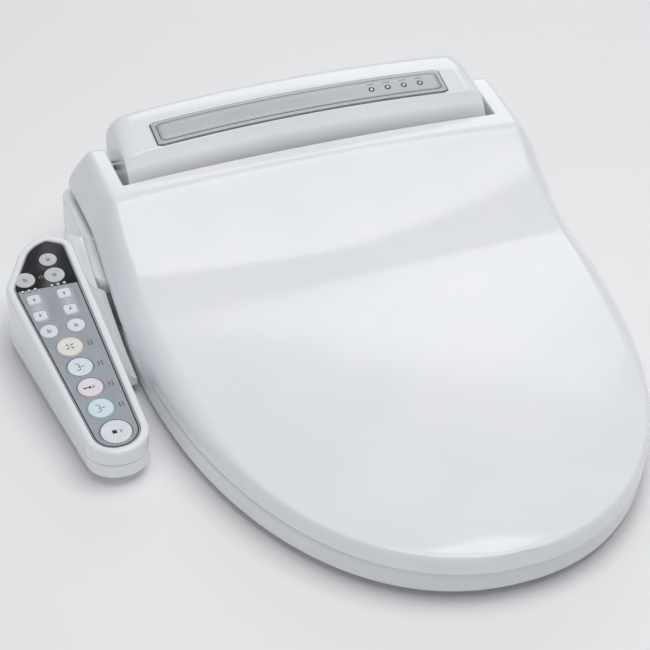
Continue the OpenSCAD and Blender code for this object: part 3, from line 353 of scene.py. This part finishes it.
def housing_ring(x):
    e = clamp((abs(x) - house_hw + 16) / 16)
    f = 1 - math.sqrt(1 - e * e * 0.98)
    c, d = crown_z(x), 12 * f
    front = [(-front_y + 0.6, parting_z + 0.2), (-front_y + 0.6, 38), (-front_y, 47), (-front_y + 1.5, 53),
             (-50, 66 - d / 3), (-30, 81 - d / 3), (house_foot - 2, 86 - d / 4), (house_foot, 88),
             (house_foot, 94 - f), (house_foot + 0.6, 96.5 - f), (house_front - 0.9, c - 6 - 3 * f),
             (house_front + 0.6, c - 2.6 - 3 * f), (house_front + 3, c - 3 * f),
             (house_front + 5.4, c + 2.9 - 4 * f)]
    top = [(strip_front - 1, c + 6.8 - 5 * f), (strip_front + 0.5, c + 7.1 - 5 * f),
           (mix(strip_front, strip_rear, 0.5), c + 9.5 - 7 * f), (strip_rear - 0.5, c + 11.9 - 9 * f),
           (strip_rear + 4, c + 12.6 - 10 * f),
           (rear_y - 13, c + 13.5 - d), (rear_y - 6, c + 11.4 - 1.2 * d), (rear_y - 2, c + 7.5 - 1.3 * d)]
    back = [(rear_y - f, c - 1.4 * d), (rear_y - f, 80), (rear_y - f - 0.3, 60), (rear_y - f - 0.9, 54),
            (rear_y - f - 0.9, parting_z + 0.2)]
    return [(x, y, z) for y, z in front + top + back]


ends = [-house_hw + 16 * (1 - math.cos(math.radians(a))) for a in range(0, 91, 10)]
columns_x = ends + [mix(-house_hw + 16, house_hw - 16, k / 20) for k in range(1, 20)]
columns_x += [-x for x in ends[::-1]]
rings = [housing_ring(x) for x in columns_x]
ring_n = len(rings[0])


def drawn_in(ring, by):
    """The ring of an end wall, pulled in by a distance so that the edge before it stays tight."""
    cy = sum(p[1] for p in ring) / len(ring)
    cz = sum(p[2] for p in ring) / len(ring)
    found = []
    for x, y, z in ring:
        away = Vector((y - cy, z - cz))
        away = away * (1 - by / away.length)
        found.append((x, cy + away.x, cz + away.y))
    return found


rings = [drawn_in(rings[0], 4)] + rings + [drawn_in(rings[-1], 4)]
house_points = [p for ring in rings for p in ring]
house_faces = grid_faces(len(rings), ring_n)
house_faces += [list(range(ring_n)), [(len(rings) - 1) * ring_n + i for i in range(ring_n)][::-1]]
housing = piece("middle_housing", house_points, house_faces, white_abs, "main", 50,
                ["top_case"])
modify(housing, "SUBSURF", levels=2, render_levels=2)


def rounded_outline(corners, grow=0.0, steps=10):
    """Corners as (x, y, radius) in a turn to the left, moved outward by grow, with each corner an arc."""
    spots = [Vector(c[:2]) for c in corners]
    count = len(corners)
    moved = []
    for i in range(count):
        u = (spots[i] - spots[i - 1]).normalized()
        v = (spots[(i + 1) % count] - spots[i]).normalized()
        n, m = Vector((u.y, -u.x)), Vector((v.y, -v.x))
        moved.append(spots[i] + grow * (n + m) / (1 + n.dot(m)))
    found = []
    for i in range(count):
        a, b, c = moved[i - 1], moved[i], moved[(i + 1) % count]
        u, v = (a - b).normalized(), (c - b).normalized()
        half = u.angle(v) / 2
        r = max(0.2, corners[i][2] + grow)
        centre = b + (u + v).normalized() * r / math.sin(half)
        start = Vector((-u.y, u.x))
        sweep = math.pi - 2 * half
        for k in range(steps + 1):
            t = sweep * k / steps
            turned = Vector((start.x * math.cos(t) - start.y * math.sin(t),
                             start.x * math.sin(t) + start.y * math.cos(t)))
            found.append(centre + r * turned)
    return found


def plan(front, grow):
    return rounded_outline([(-body_hw, front, 12), (body_hw, front, 12), (body_hw, rear_y, 16),
                            (-body_hw, rear_y, 16)], grow)


levels = [(parting_z + 0.3, -front_y, -0.7), (parting_z + 0.9, -front_y, 0), (deck_z - 19, -front_y, 0),
          (deck_z - 17, -front_y + 0.8, 0)]
levels += [(mix(deck_z - 17, deck_z - 2.5, t), mix(-front_y + 0.8, -27, t), 0)
           for t in (0.12, 0.3, 0.5, 0.7, 0.9, 1)]
levels += [(deck_z - 2.5 + 2.5 * math.sin(math.radians(a)), -27 + a / 45,
            -2.5 * (1 - math.cos(math.radians(a))))
           for a in (18, 36, 54, 72, 90)]
cheek_points, loop_n = [], len(plan(-front_y, 0))
for z, front, grow in levels:
    cheek_points += [(p.x, p.y, z) for p in plan(front, grow)]
cheek_faces = grid_faces(len(levels), loop_n, closed_columns=True)
cheek_faces.append([(len(levels) - 1) * loop_n + i for i in range(loop_n)])
piece("side_cheeks", cheek_points, cheek_faces, white_abs, "main", 30)
cad_finish(white_abs, "base_tray")


# ---- Control arm ----
# A hollow ABS arm in two halves beside the user's right hand, tilted forward and a little outward. Its
# upper half has a raised rim around the keypad, and a moulded web joins it to the body.
panel_x, panel_mid, panel_z = -body_hw - 44, -142, 52.1
tilt, lean, panel_hl, panel_w = math.radians(8.4), math.radians(2.3), 115, 50
arm_margin, arm_low, arm_split, rim_h = 6.5, 8, 22, 1.5
panel_turn = Matrix.Rotation(-lean, 3, "Y") @ Matrix.Rotation(tilt, 3, "X")
panel_corners = [(25, panel_hl - 8, 7), (13, panel_hl, 6), (-2, panel_hl - 4, 26),
                 (25 - panel_w, panel_hl - 44, 12),
                 (25 - panel_w, panel_hl - 56, 14), (-10.5, -panel_hl, 17), (25, -panel_hl, 18)]


def on_panel(x, y, z=0.0):
    return Vector((panel_x, panel_mid, panel_z)) + panel_turn @ Vector((x, y, z))


def panel_depth(x, y, level):
    """How far below the panel's plane a wall at x, y meets the world height level."""
    return (level - on_panel(x, y).z) / panel_turn[2][2]


def arm_wall(name, rows, replaces, closed_bottom):
    """Lofts the arm's outline through rows of (growth, height function)."""
    points, count = [], len(rounded_outline(panel_corners))
    for grow, height in rows:
        for p in rounded_outline(panel_corners, grow):
            points.append(on_panel(p.x, p.y, height(p.x, p.y)))
    faces = grid_faces(len(rows), count, closed_columns=True)
    if closed_bottom:
        faces.append(list(range(count)))
    return piece(name, points, faces, white_abs, "main", 40, replaces)


def at_level(z):
    return lambda x, y: panel_depth(x, y, z)


def at_height(h):
    return lambda x, y: h


upper = [(arm_margin - 0.5, at_level(arm_split + 0.1)), (arm_margin, at_level(arm_split + 0.6))]
upper += [(arm_margin, at_height(-6)), (arm_margin, at_height(-2.4))]
upper += [(arm_margin - 3.4 * (1 - math.cos(math.radians(a))),
           at_height(rim_h - 3.4 + 3.4 * math.sin(math.radians(a))))
          for a in (15, 30, 45, 60, 75, 90)]
upper += [(1.4, at_height(rim_h)), (0.8, at_height(rim_h - 0.2)), (0.35, at_height(rim_h - 0.7)),
          (0.25, at_height(-1))]
arm_wall("arm_upper_shell", upper, ["arm_upper_case"], False)
lower = [(arm_margin - 2.5, at_level(arm_low)), (arm_margin - 1.2, at_level(arm_low + 0.4)),
         (arm_margin - 0.3, at_level(arm_low + 1.5)), (arm_margin, at_level(arm_low + 3)),
         (arm_margin, at_level(arm_split - 0.6)), (arm_margin - 0.5, at_level(arm_split - 0.1))]
arm_wall("arm_lower_shell", lower, ["arm_lower_case"], True)

root_x, root_front, root_back = body_hw + 15, -152, -20


def root_row(y):
    inner_x = -lid_hw - 2.5 if y < -front_y else -body_hw - 0.2
    z_in = mix(14, 62, clamp((y + 152) / 134) ** 1.6)
    z_out = panel_z + (y - panel_mid) * math.tan(tilt) + (-root_x - panel_x) * math.tan(lean) - 1
    top = [(mix(-root_x, inner_x, k / 14), y, mix(z_out, z_in, 1 - (1 - k / 14) ** 1.8)) for k in range(15)]
    return [(-root_x, y, arm_low)] + top + [(inner_x, y, z_in - 1.5), (inner_x, y, arm_low)]


root_ys = [mix(root_front, -front_y, k / 24) for k in range(25)]
root_ys += [mix(-front_y + 0.5, root_back, k / 10) for k in range(11)]
root_points = [p for y in root_ys for p in root_row(y)]
root_n = len(root_row(0))
root_faces = grid_faces(len(root_ys), root_n, closed_columns=True)
root_faces += [list(range(root_n)), [(len(root_ys) - 1) * root_n + i for i in range(root_n)]]
piece("arm_web", root_points, root_faces, white_abs, "main", 50)


# ---- Keypad film ----
# A screen-printed polycarbonate film: silver grey with a black border line and a black zone behind,
# in a satin finish. The inks are opaque and slightly duller than the film.
film_grey = moulded("polycarbonate_film_silver_print", "#a9aeb5", "#a2a7af", 12, 0.42, 0.04, 0.8, 0.1, 1.58)
ink_black = moulded("screen_ink_black", "#161618", "#111113", 15, 0.38, 0.05, 0.9, 0.08)
ink_pale = moulded("screen_ink_pale_grey", "#c7cbd1", "#c1c5cc", 10, 0.42, 0.04, 0.8, 0.1)
ink_white = moulded("screen_ink_white", "#eef0f3", "#e6e8ec", 10, 0.35, 0.04, 0.8, 0.08)
ink_soft = moulded("screen_ink_mid_grey", "#585c63", "#52565c", 10, 0.42, 0.04, 0.8, 0.1)
cad_finish(film_grey, "control_film")
film_top, ink_step = 0.5, 0.04
film_line = panel_hl - 51


def printed(name, shapes, height, material, body="main"):
    """Flat ink: each shape is an outline in the panel's plane, or a pair of outlines for a band."""
    points, faces = [], []
    for shape in shapes:
        start = len(points)
        if isinstance(shape, tuple):
            outer, inner_line = shape
            count = len(outer)
            points += [on_panel(p[0], p[1], height) for p in list(outer) + list(inner_line)]
            faces += [[start + i, start + (i + 1) % count, start + count + (i + 1) % count,
                       start + count + i]
                      for i in range(count)]
        else:
            points += [on_panel(p[0], p[1], height) for p in shape]
            faces.append([start + i for i in range(len(shape))])
    made = piece(name, points, faces, material, body)
    modify(made, "SOLIDIFY", thickness=0.03 * MM, offset=-1)
    return made


def disc(x, y, r, count=40):
    return [(x + r * math.cos(2 * math.pi * k / count), y + r * math.sin(2 * math.pi * k / count))
            for k in range(count)]


def bar(x, y, w, h):
    return [(x - w / 2, y - h / 2), (x + w / 2, y - h / 2), (x + w / 2, y + h / 2), (x - w / 2, y + h / 2)]


def pill(x, y, w, h, r):
    return [(x + p.x, y + p.y) for p in rounded_outline(
        [(-w / 2, -h / 2, r), (w / 2, -h / 2, r), (w / 2, h / 2, r), (-w / 2, h / 2, r)])]


def behind_line(outline):
    """The part of an outline behind the border line that crosses the film."""
    def side(p):
        return p[1] - (film_line - 0.085 * p[0])
    kept = []
    for i, p in enumerate(outline):
        q = outline[(i + 1) % len(outline)]
        if side(p) >= 0:
            kept.append((p[0], p[1]))
        if side(p) * side(q) < 0:
            t = side(p) / (side(p) - side(q))
            kept.append((mix(p[0], q[0], t), mix(p[1], q[1], t)))
    return kept


border = (rounded_outline(panel_corners, -0.9), rounded_outline(panel_corners, -1.9))
printed("film_border_line", [border], film_top + ink_step, ink_black)
printed("film_black_zone", [behind_line(rounded_outline(panel_corners, -0.7))], film_top + 0.5 * ink_step,
        ink_black)
rocker_x = (-13.8, 10.2)
rocker_ys = (53.5, 35)
rocker_mid = sum(rocker_ys) / 2
printed("rocker_fields", [pill(x, rocker_mid, 14.6, 34, 6.5) for x in rocker_x], film_top + ink_step,
        ink_pale)
speckle = [disc(-1.8 + 2.1 * (k % 3 - 1) + 0.7 * (k // 3 % 2), rocker_mid - 9 + 2.1 * (k // 3), 0.34, 8)
           for k in range(30)]
speckle += [disc(x, rocker_mid - 12 + 2.2 * k, 0.3, 8) for x in (-22.3, 19.3) for k in range(12)]
printed("film_speckle", speckle, film_top + ink_step, ink_soft)
light_rows = [(x + 5 * k, film_line + 0.4) for x in (-14.7, 8.7) for k in (-1, 0, 1)]
printed("level_lights", [disc(x, y + 0.6, 1.25, 20) for x, y in light_rows], film_top + 2 * ink_step,
        ink_white)
printed("level_light_rings",
        [(disc(x, y + 0.6, 1.5, 20), disc(x, y + 0.6, 1.2, 20)) for x, y in light_rows],
        film_top + 2.2 * ink_step, ink_soft)
level_marks = [bar(-3.2 + 1.5 * (k % 3), panel_hl - 38 + 0.9 * (k % 2) - 1.6 * (k // 3), 1.0, 0.5)
               for k in range(6)]
printed("level_caption_marks", level_marks, film_top + 2 * ink_step, ink_pale)


# ---- Keys ----
# Soft-touch keys moulded in satin ABS, a little domed, each on its own switch. Their rings and symbols
# are pad-printed: coloured rings, a fan, spray arcs and a stop square.
key_silver = moulded("abs_key_satin_silver", "#d3d5d7", "#cccfd2", 8, 0.33, 0.04, 0.7, 0.1)
key_white = moulded("abs_key_satin_white", "#eff1f5", "#e8ebf0", 8, 0.28, 0.04, 0.7, 0.08)
key_cream = moulded("abs_key_satin_cream", "#f3f1ee", "#efece7", 8, 0.28, 0.04, 0.7, 0.08)
key_blue = moulded("abs_key_satin_pale_blue", "#edf2f8", "#e7eef6", 8, 0.28, 0.04, 0.7, 0.08)
key_pink = moulded("abs_key_satin_pale_pink", "#f5ecf3", "#f1e6ef", 8, 0.28, 0.04, 0.7, 0.08)
key_aqua = moulded("abs_key_satin_pale_aqua", "#e6f3f8", "#deeff5", 8, 0.28, 0.04, 0.7, 0.08)
ink_ochre = moulded("pad_ink_ochre", "#d8c37e", "#cfb970", 6, 0.35, 0.04, 0.8, 0.05)
ink_blue = moulded("pad_ink_blue", "#3f5fa8", "#37559c", 6, 0.35, 0.04, 0.8, 0.05)
ink_plum = moulded("pad_ink_plum", "#a05a9a", "#97508f", 6, 0.35, 0.04, 0.8, 0.05)
ink_teal = moulded("pad_ink_teal", "#7cc0d2", "#70b6c9", 6, 0.35, 0.04, 0.8, 0.05)
key_top, key_foot = 1.25, -3.6


def pad_key(name, outline, centre, material):
    """A key with a rounded edge and a slightly domed face, over an outline about its centre."""
    rows = [(1.0, key_foot), (1.0, key_top - 0.5), (0.985, key_top - 0.25), (0.95, key_top - 0.12),
            (0.85, key_top - 0.07), (0.5, key_top - 0.02), (0.02, key_top)]
    cx, cy = centre
    points = [on_panel(cx + (p[0] - cx) * s, cy + (p[1] - cy) * s, z) for s, z in rows for p in outline]
    count = len(outline)
    faces = grid_faces(len(rows), count, closed_columns=True)
    faces += [[(len(rows) - 1) * count + i for i in range(count)], list(range(count))[::-1]]
    return piece(name + "_cap", points, faces, material, name, 40, [name])


def arc(cx, cy, r, start, stop, width, steps=14):
    """A band along an arc, in degrees."""
    angles = [math.radians(mix(start, stop, k / steps)) for k in range(steps + 1)]
    outer = [(cx + (r + width / 2) * math.cos(a), cy + (r + width / 2) * math.sin(a)) for a in angles]
    return outer + [(cx + (r - width / 2) * math.cos(a), cy + (r - width / 2) * math.sin(a))
                    for a in angles[::-1]]


def fan_symbol(x, y):
    blades = []
    for k in range(4):
        turn = math.radians(90 * k + 20)
        curve = [(0.5 + 3.6 * t, 1.7 * math.sin(math.pi * t * 0.9)) for t in (0, 0.2, 0.4, 0.6, 0.8, 1)]
        flat = curve + [(u, v - 1.0 * math.sin(math.pi * t))
                        for (u, v), t in zip(curve[-2:0:-1], (0.8, 0.6, 0.4, 0.2))]
        blades.append([(x + u * math.cos(turn) - v * math.sin(turn),
                        y + u * math.sin(turn) + v * math.cos(turn))
                       for u, v in flat])
    return blades


def spray_symbol(x, y):
    return [arc(x - 2.2, y + 1.7, 1.9, -60, 120, 0.5), arc(x - 2.2, y - 1.7, 1.9, -120, 60, 0.5),
            bar(x + 1.4, y, 3.2, 0.35), arc(x + 3.4, y, 1.2, 130, 230, 0.3)]


def figure_symbol(x, y):
    body_shape = [(x - 4.6, y - 0.5), (x - 1.6, y - 0.5), (x + 0.4, y - 1.5), (x + 0.4, y + 1.5),
                  (x - 1.6, y + 0.5),
                  (x - 4.6, y + 0.5)]
    return [disc(x - 4.6, y, 0.85, 16), body_shape, arc(x + 3, y + 1.2, 1.2, 140, 300, 0.35),
            arc(x + 3, y - 1.2, 1.2, 60, 220, 0.35), bar(x + 2.4, y, 2.6, 0.3)]


def caption(x, y, count, gap=0.85):
    """A few short strokes where the real key has a word."""
    return [bar(x, y - 1.9 + gap * k, 0.9 + 0.3 * (k % 2), 0.55) for k in range(count)]


level_r, small_r, round_r, stop_r = 8, 7, 10.5, 12.7
round_at = [(-1.5 + 1.35 * k, -4 - 23 * k) for k in range(4)]
round_keys = [
    ("top_key", (8.5, panel_hl - 21.6), small_r, key_silver, "silver_key", None),
    ("left_level_key", (-14.7, panel_hl - 38.3), level_r, key_silver, "silver_key", None),
    ("right_level_key", (8.7, panel_hl - 39.6), level_r, key_silver, "silver_key", None),
    ("left_mode_key", (-12, 17), small_r, key_white, "white_key", None),
    ("right_mode_key", (9.3, 17), small_r, key_white, "white_key", None),
    ("dry_key", round_at[0], round_r, key_cream, "white_key", ink_ochre),
    ("wash_key", round_at[1], round_r, key_blue, "white_key", ink_blue),
    ("bidet_key", round_at[2], round_r, key_pink, "white_key", ink_plum),
    ("soft_key", round_at[3], round_r, key_aqua, "white_key", ink_teal),
    ("stop_key", (6.5, 15.5 - panel_hl), stop_r, key_white, "white_key", ink_soft)]
symbols = {"dry_key": fan_symbol, "wash_key": spray_symbol, "bidet_key": figure_symbol,
           "soft_key": spray_symbol}
for name, (x, y), r, material, slot, ring_ink in round_keys:
    pad_key(name, disc(x, y, r, 64), (x, y), material)
    if ring_ink:
        band = (disc(x, y, r - 0.25, 64), disc(x, y, r - 0.95, 64))
        printed(name + "_ring", [band], key_top - 0.04, ring_ink, name)
    else:
        strokes = caption(x - 0.8, y, 5) + caption(x + 0.8, y, 4)
        printed(name + "_caption", strokes, key_top + 0.03, ink_soft, name)
    if name in symbols:
        printed(name + "_symbol", symbols[name](x, y), key_top + 0.04, ink_black, name)
stop_x, stop_y = round_keys[-1][1]
printed("stop_square", [bar(stop_x - 1.2, stop_y, 3.4, 3.4)], key_top + 0.04, ink_black, "stop_key")
printed("stop_caption", caption(stop_x + 3.6, stop_y, 4), key_top + 0.03, ink_soft, "stop_key")
for name, x, y, up in (("left_up_key", rocker_x[0], rocker_ys[0], 1),
                       ("left_down_key", rocker_x[0], rocker_ys[1], -1),
                       ("right_up_key", rocker_x[1], rocker_ys[0], 1),
                       ("right_down_key", rocker_x[1], rocker_ys[1], -1)):
    pad_key(name, pill(x, y, 11.5, 11.5, 3), (x, y), key_white)
    edge = (pill(x, y, 10.9, 10.9, 3), pill(x, y, 10.3, 10.3, 2.7))
    arrow = [[(x - 1.2, y - 0.6 * up), (x + 1.2, y - 0.6 * up), (x, y + 1.2 * up)],
             bar(x, y - 1.6 * up, 0.5, 1.8)]
    printed(name + "_edge", [edge], key_top - 0.04, ink_soft, name)
    printed(name + "_arrow", arrow, key_top + 0.04, ink_soft, name)
beside = [stroke for (x, y) in round_at for column in (14.5, 17)
          for stroke in caption(x + column, y - 0.6, 6)]
printed("function_captions", [s for s in beside if s[0][0] < 23], film_top + ink_step, ink_soft)


# ---- Display strip ----
# A crowned bar let into the housing's top: a satin silver frame around a paler printed field with a thin
# dark outline, and four small indicator lamps near its right end.
silver_paint = moulded("satin_silver_paint_on_abs", "#c8cbd0", "#c0c4c9", 40, 0.34, 0.04, 0.5, 0.12,
                       Metallic=0.1)
field_print = moulded("polycarbonate_window_print", "#c9cccf", "#c2c5c9", 50, 0.36, 0.04, 0.6, 0.08, 1.58)
# Painted shade: a flat mid-grey that stands for the shade in the gap round the display strip.
painted_gap_shade = moulded("shadow_gap_dark", "#7d8086", "#74777d", 20, 0.5, 0.05, 0.8, 0.1)


def on_strip(x, y, h):
    return Vector((x, y, crown_z(x) + 7 + (y - strip_front) * 0.2 + h))


def strip_plate(name, half_w, y0, y1, radius, height, depth, material, replaces=(), inner=None):
    """A plate or, with inner, a band that follows the strip's crown."""
    def loop(hw, a, b, r):
        flat = rounded_outline([(-hw, a, r), (hw, a, r), (hw, b, r), (-hw, b, r)], 0, 8)
        dense = []
        for i, p in enumerate(flat):
            q = flat[(i + 1) % len(flat)]
            parts = max(1, round((q - p).length / 12))
            dense += [p.lerp(q, k / parts) for k in range(parts)]
        return dense
    outer = loop(half_w, y0, y1, radius)
    count = len(outer)
    if inner:
        w, a, b, r = inner
        inside = []
        for p in outer:
            u = (p.x / half_w, (p.y - (y0 + y1) / 2) / ((y1 - y0) / 2))
            inside.append(Vector((u[0] * w, (a + b) / 2 + u[1] * (b - a) / 2)))
        points = [on_strip(p.x, p.y, height) for p in outer + inside]
        faces = [[i, (i + 1) % count, count + (i + 1) % count, count + i] for i in range(count)]
    else:
        rows = 60
        points, faces = [], []
        for k in range(rows + 1):
            x = mix(-half_w, half_w, k / rows)
            near = max(0, abs(x) - (half_w - radius))
            cut = radius - math.sqrt(max(0, radius ** 2 - near ** 2))
            points += [on_strip(x, mix(y0 + cut, y1 - cut, j / 4), height) for j in range(5)]
        faces = grid_faces(rows + 1, 5)
    made = piece(name, points, faces, material, "main", 40, replaces)
    modify(made, "SOLIDIFY", thickness=depth * MM, offset=-1)
    return made


# A grey plate just larger than the bezel, under its edge: painted shade for the shadow gap round the strip.
strip_plate("strip_gap_painted_shade", strip_hw + 0.9, strip_front - 0.9, strip_rear + 0.9, 1.8, 0.55, 1.0, painted_gap_shade)
bezel = strip_plate("strip_bezel", strip_hw, strip_front, strip_rear, 1.2, 1.3, 1.6, silver_paint,
                    ["display_bezel"])
modify(bezel, "BEVEL", width=0.5 * MM, segments=3, limit_method="ANGLE")
strip_plate("strip_field_line", strip_hw - 3.4, strip_front + 2.9, strip_rear - 2.9, 1.4, 1.34, 0.3,
            ink_black)
strip_plate("strip_field", strip_hw - 3.9, strip_front + 3.4, strip_rear - 3.4, 1.0, 1.4, 0.3, field_print,
            ["display_window"])
lamp_y = 10
lamp_points, lamp_faces = [], []
for k in range(4):
    x = strip_hw - 62 + 14 * k
    for r, h in ((2.5, 1.4), (2.5, 1.7), (2.3, 1.9), (1.9, 1.8), (1.7, 1.5), (1.4, 1.55), (0.9, 1.6),
                 (0.05, 1.6)):
        lamp_points += [on_strip(x + r * math.cos(math.radians(10 * a)),
                                 lamp_y + r * math.sin(math.radians(10 * a)), h)
                        for a in range(36)]
    base = 8 * 36 * k
    lamp_faces += [[base + f for f in face] for face in grid_faces(8, 36, closed_columns=True)]
lens = moulded("acrylic_lens_grey", "#4c5056", "#44484e", 4, 0.12, 0.02, 0.8, 0.05, 1.49, Coat_Weight=0.5)
piece("indicator_lamps", lamp_points, lamp_faces, lens, "main", 40, ["indicator_lights"])
dome_points, dome_faces = [], []
for k in range(4):
    x = strip_hw - 62 + 14 * k
    for r, h in ((1.25, 1.5), (1.25, 1.8), (1.0, 1.95), (0.5, 2.02), (0.05, 2.04)):
        dome_points += [on_strip(x + r * math.cos(math.radians(15 * a)),
                                 lamp_y + r * math.sin(math.radians(15 * a)), h)
                        for a in range(24)]
    base = 5 * 24 * k
    dome_faces += [[base + f for f in face] for face in grid_faces(5, 24, closed_columns=True)]
piece("indicator_domes", dome_points, dome_faces, ink_white, "main", 40)
lamp_marks_points, lamp_marks_faces = [], []
for k in range(4):
    for j in range(4):
        x, y = strip_hw - 64.4 + 14 * k + 1.6 * j, lamp_y + 5.4
        start = len(lamp_marks_points)
        lamp_marks_points += [on_strip(x + u, y + v, 1.43) for u, v in ((0, 0), (1, 0), (1, 0.8), (0, 0.8))]
        lamp_marks_faces.append([start, start + 1, start + 2, start + 3])
lamp_marks = piece("indicator_captions", lamp_marks_points, lamp_marks_faces, ink_soft, "main")
modify(lamp_marks, "SOLIDIFY", thickness=0.05 * MM, offset=-1)


# ---- Carried-over pieces ----
# Everything inside the body, under the seat and behind the bowl plate keeps its CAD shape. Each takes the
# material of the real part: moulded polypropylene, steel, rubber, solder resist, copper-brown foil.
polypropylene = moulded("polypropylene_moulded", "#d3d5d9", "#cbced3", 30, 0.42, 0.05, 1.5, 0.2, 1.49)
black_nylon = moulded("nylon_moulded_black", "#2a2a2d", "#232326", 20, 0.45, 0.05, 1.2, 0.25, 1.53)
solder_resist = moulded("solder_resist_green", "#1f6b41", "#1a5f39", 6, 0.3, 0.05, 1.0, 0.2, 1.5)
plain_steel = moulded("plain_steel_rolled", "#b7b9bb", "#a9abae", 15, 0.32, 0.07, 0.6, 0.2, 1.5,
                      Metallic=1.0)
lamination = moulded("varnished_steel_laminations", "#5d6166", "#53575c", 10, 0.45, 0.05, 0.5, 0.3,
                     Metallic=0.5)
silicone = moulded("silicone_tube_milky", "#d9dadb", "#d0d1d3", 20, 0.5, 0.05, 1.0, 0.15, 1.41)
grey_rubber = moulded("rubber_moulded_grey", "#8b8d91", "#818387", 15, 0.6, 0.06, 0.9, 0.35, 1.52)
foil = moulded("heater_foil_brown", "#a86f3c", "#9a6233", 12, 0.35, 0.06, 0.8, 0.2, Metallic=0.8)
cad_finish(inner_abs, "seat_base", "dryer_flap")
cad_finish(polypropylene, "water_tank", "inlet_fitting", "inlet_valve", "diverter_valve", "nozzle_block",
           "nozzle_escutcheon", "blower_housing", "blower_wheel", "deodorizer_housing", "filter_cassette",
           "mounting_plate", "rear_pinion", "front_pinion", "rear_nozzle", "front_nozzle")
cad_finish(black_nylon, "dampers", "deodorizer_fan")
cad_finish(solder_resist, "display_board", "main_board", "control_board")
cad_finish(plain_steel, "power_supply", "tank_heater", "nozzle_motors", "blower_motor", "hinge_pins",
           "inlet_strainer")
cad_finish(lamination, "transformer")
cad_finish(silicone, "water_hoses")
cad_finish(grey_rubber, "lid_bumpers", "seat_bumpers", "power_gland", "release_button")
cad_finish(foil, "dryer_heater", "seat_heater")


# ---- Studio ----
# A plain pale floor, a large soft overhead light and two soft side lights, and a long lens from the
# front left and above.
floor_mesh = bpy.data.meshes.new("studio_floor")
reach = 30.0
floor_mesh.from_pydata([(-reach, -reach, 0), (reach, -reach, 0), (reach, reach, 0), (-reach, reach, 0)], [],
                       [[0, 1, 2, 3]])
floor = bpy.data.objects.new("studio_floor", floor_mesh)
floor.location.z = -0.0005
floor_mesh.materials.append(moulded("floor_matt_white", "#fbfbfb", "#f9f9f9", 900, 0.8, 0.05, 40, 0.02))
bpy.context.scene.collection.objects.link(floor)

world = bpy.data.worlds.new("studio_air")
bpy.context.scene.world = world
world.use_nodes = True
world.node_tree.nodes["Background"].inputs["Color"].default_value = colour("#f4f7fb")
world.node_tree.nodes["Background"].inputs["Strength"].default_value = 0.36


def soft_light(name, spot, aim, size, power, tint="#ffffff"):
    lamp = bpy.data.lights.new(name, "AREA")
    lamp.shape, lamp.size, lamp.size_y = "RECTANGLE", size[0], size[1]
    lamp.energy, lamp.color = power, colour(tint)[:3]
    made = bpy.data.objects.new(name, lamp)
    made.location = spot
    made.rotation_euler = (Vector(aim) - Vector(spot)).to_track_quat("-Z", "Y").to_euler()
    bpy.context.scene.collection.objects.link(made)


soft_light("overhead_softbox", (0.2, -0.5, 2.2), (0, -0.15, 0), (2.0, 1.6), 26)
soft_light("rear_softbox", (0.9, 1.9, 1.3), (0, -0.1, 0.05), (1.6, 1.0), 8)
soft_light("left_fill", (-2.0, -0.8, 0.9), (0, -0.15, 0.05), (1.4, 1.4), 1.5)

lens_cam = bpy.data.cameras.new("long_lens")
lens_cam.lens, lens_cam.sensor_width = 164.62, 36
camera = bpy.data.objects.new("long_lens", lens_cam)
camera.location = Vector((-656.2, -1911.8, 1412.0)) * MM
aim_at = Vector((-42.0, -168.6, 40.0)) * MM
camera.rotation_euler = (aim_at - camera.location).to_track_quat("-Z", "Y").to_euler()
bpy.context.scene.collection.objects.link(camera)
bpy.context.scene.camera = camera
bpy.context.scene.view_settings.view_transform = "Standard"
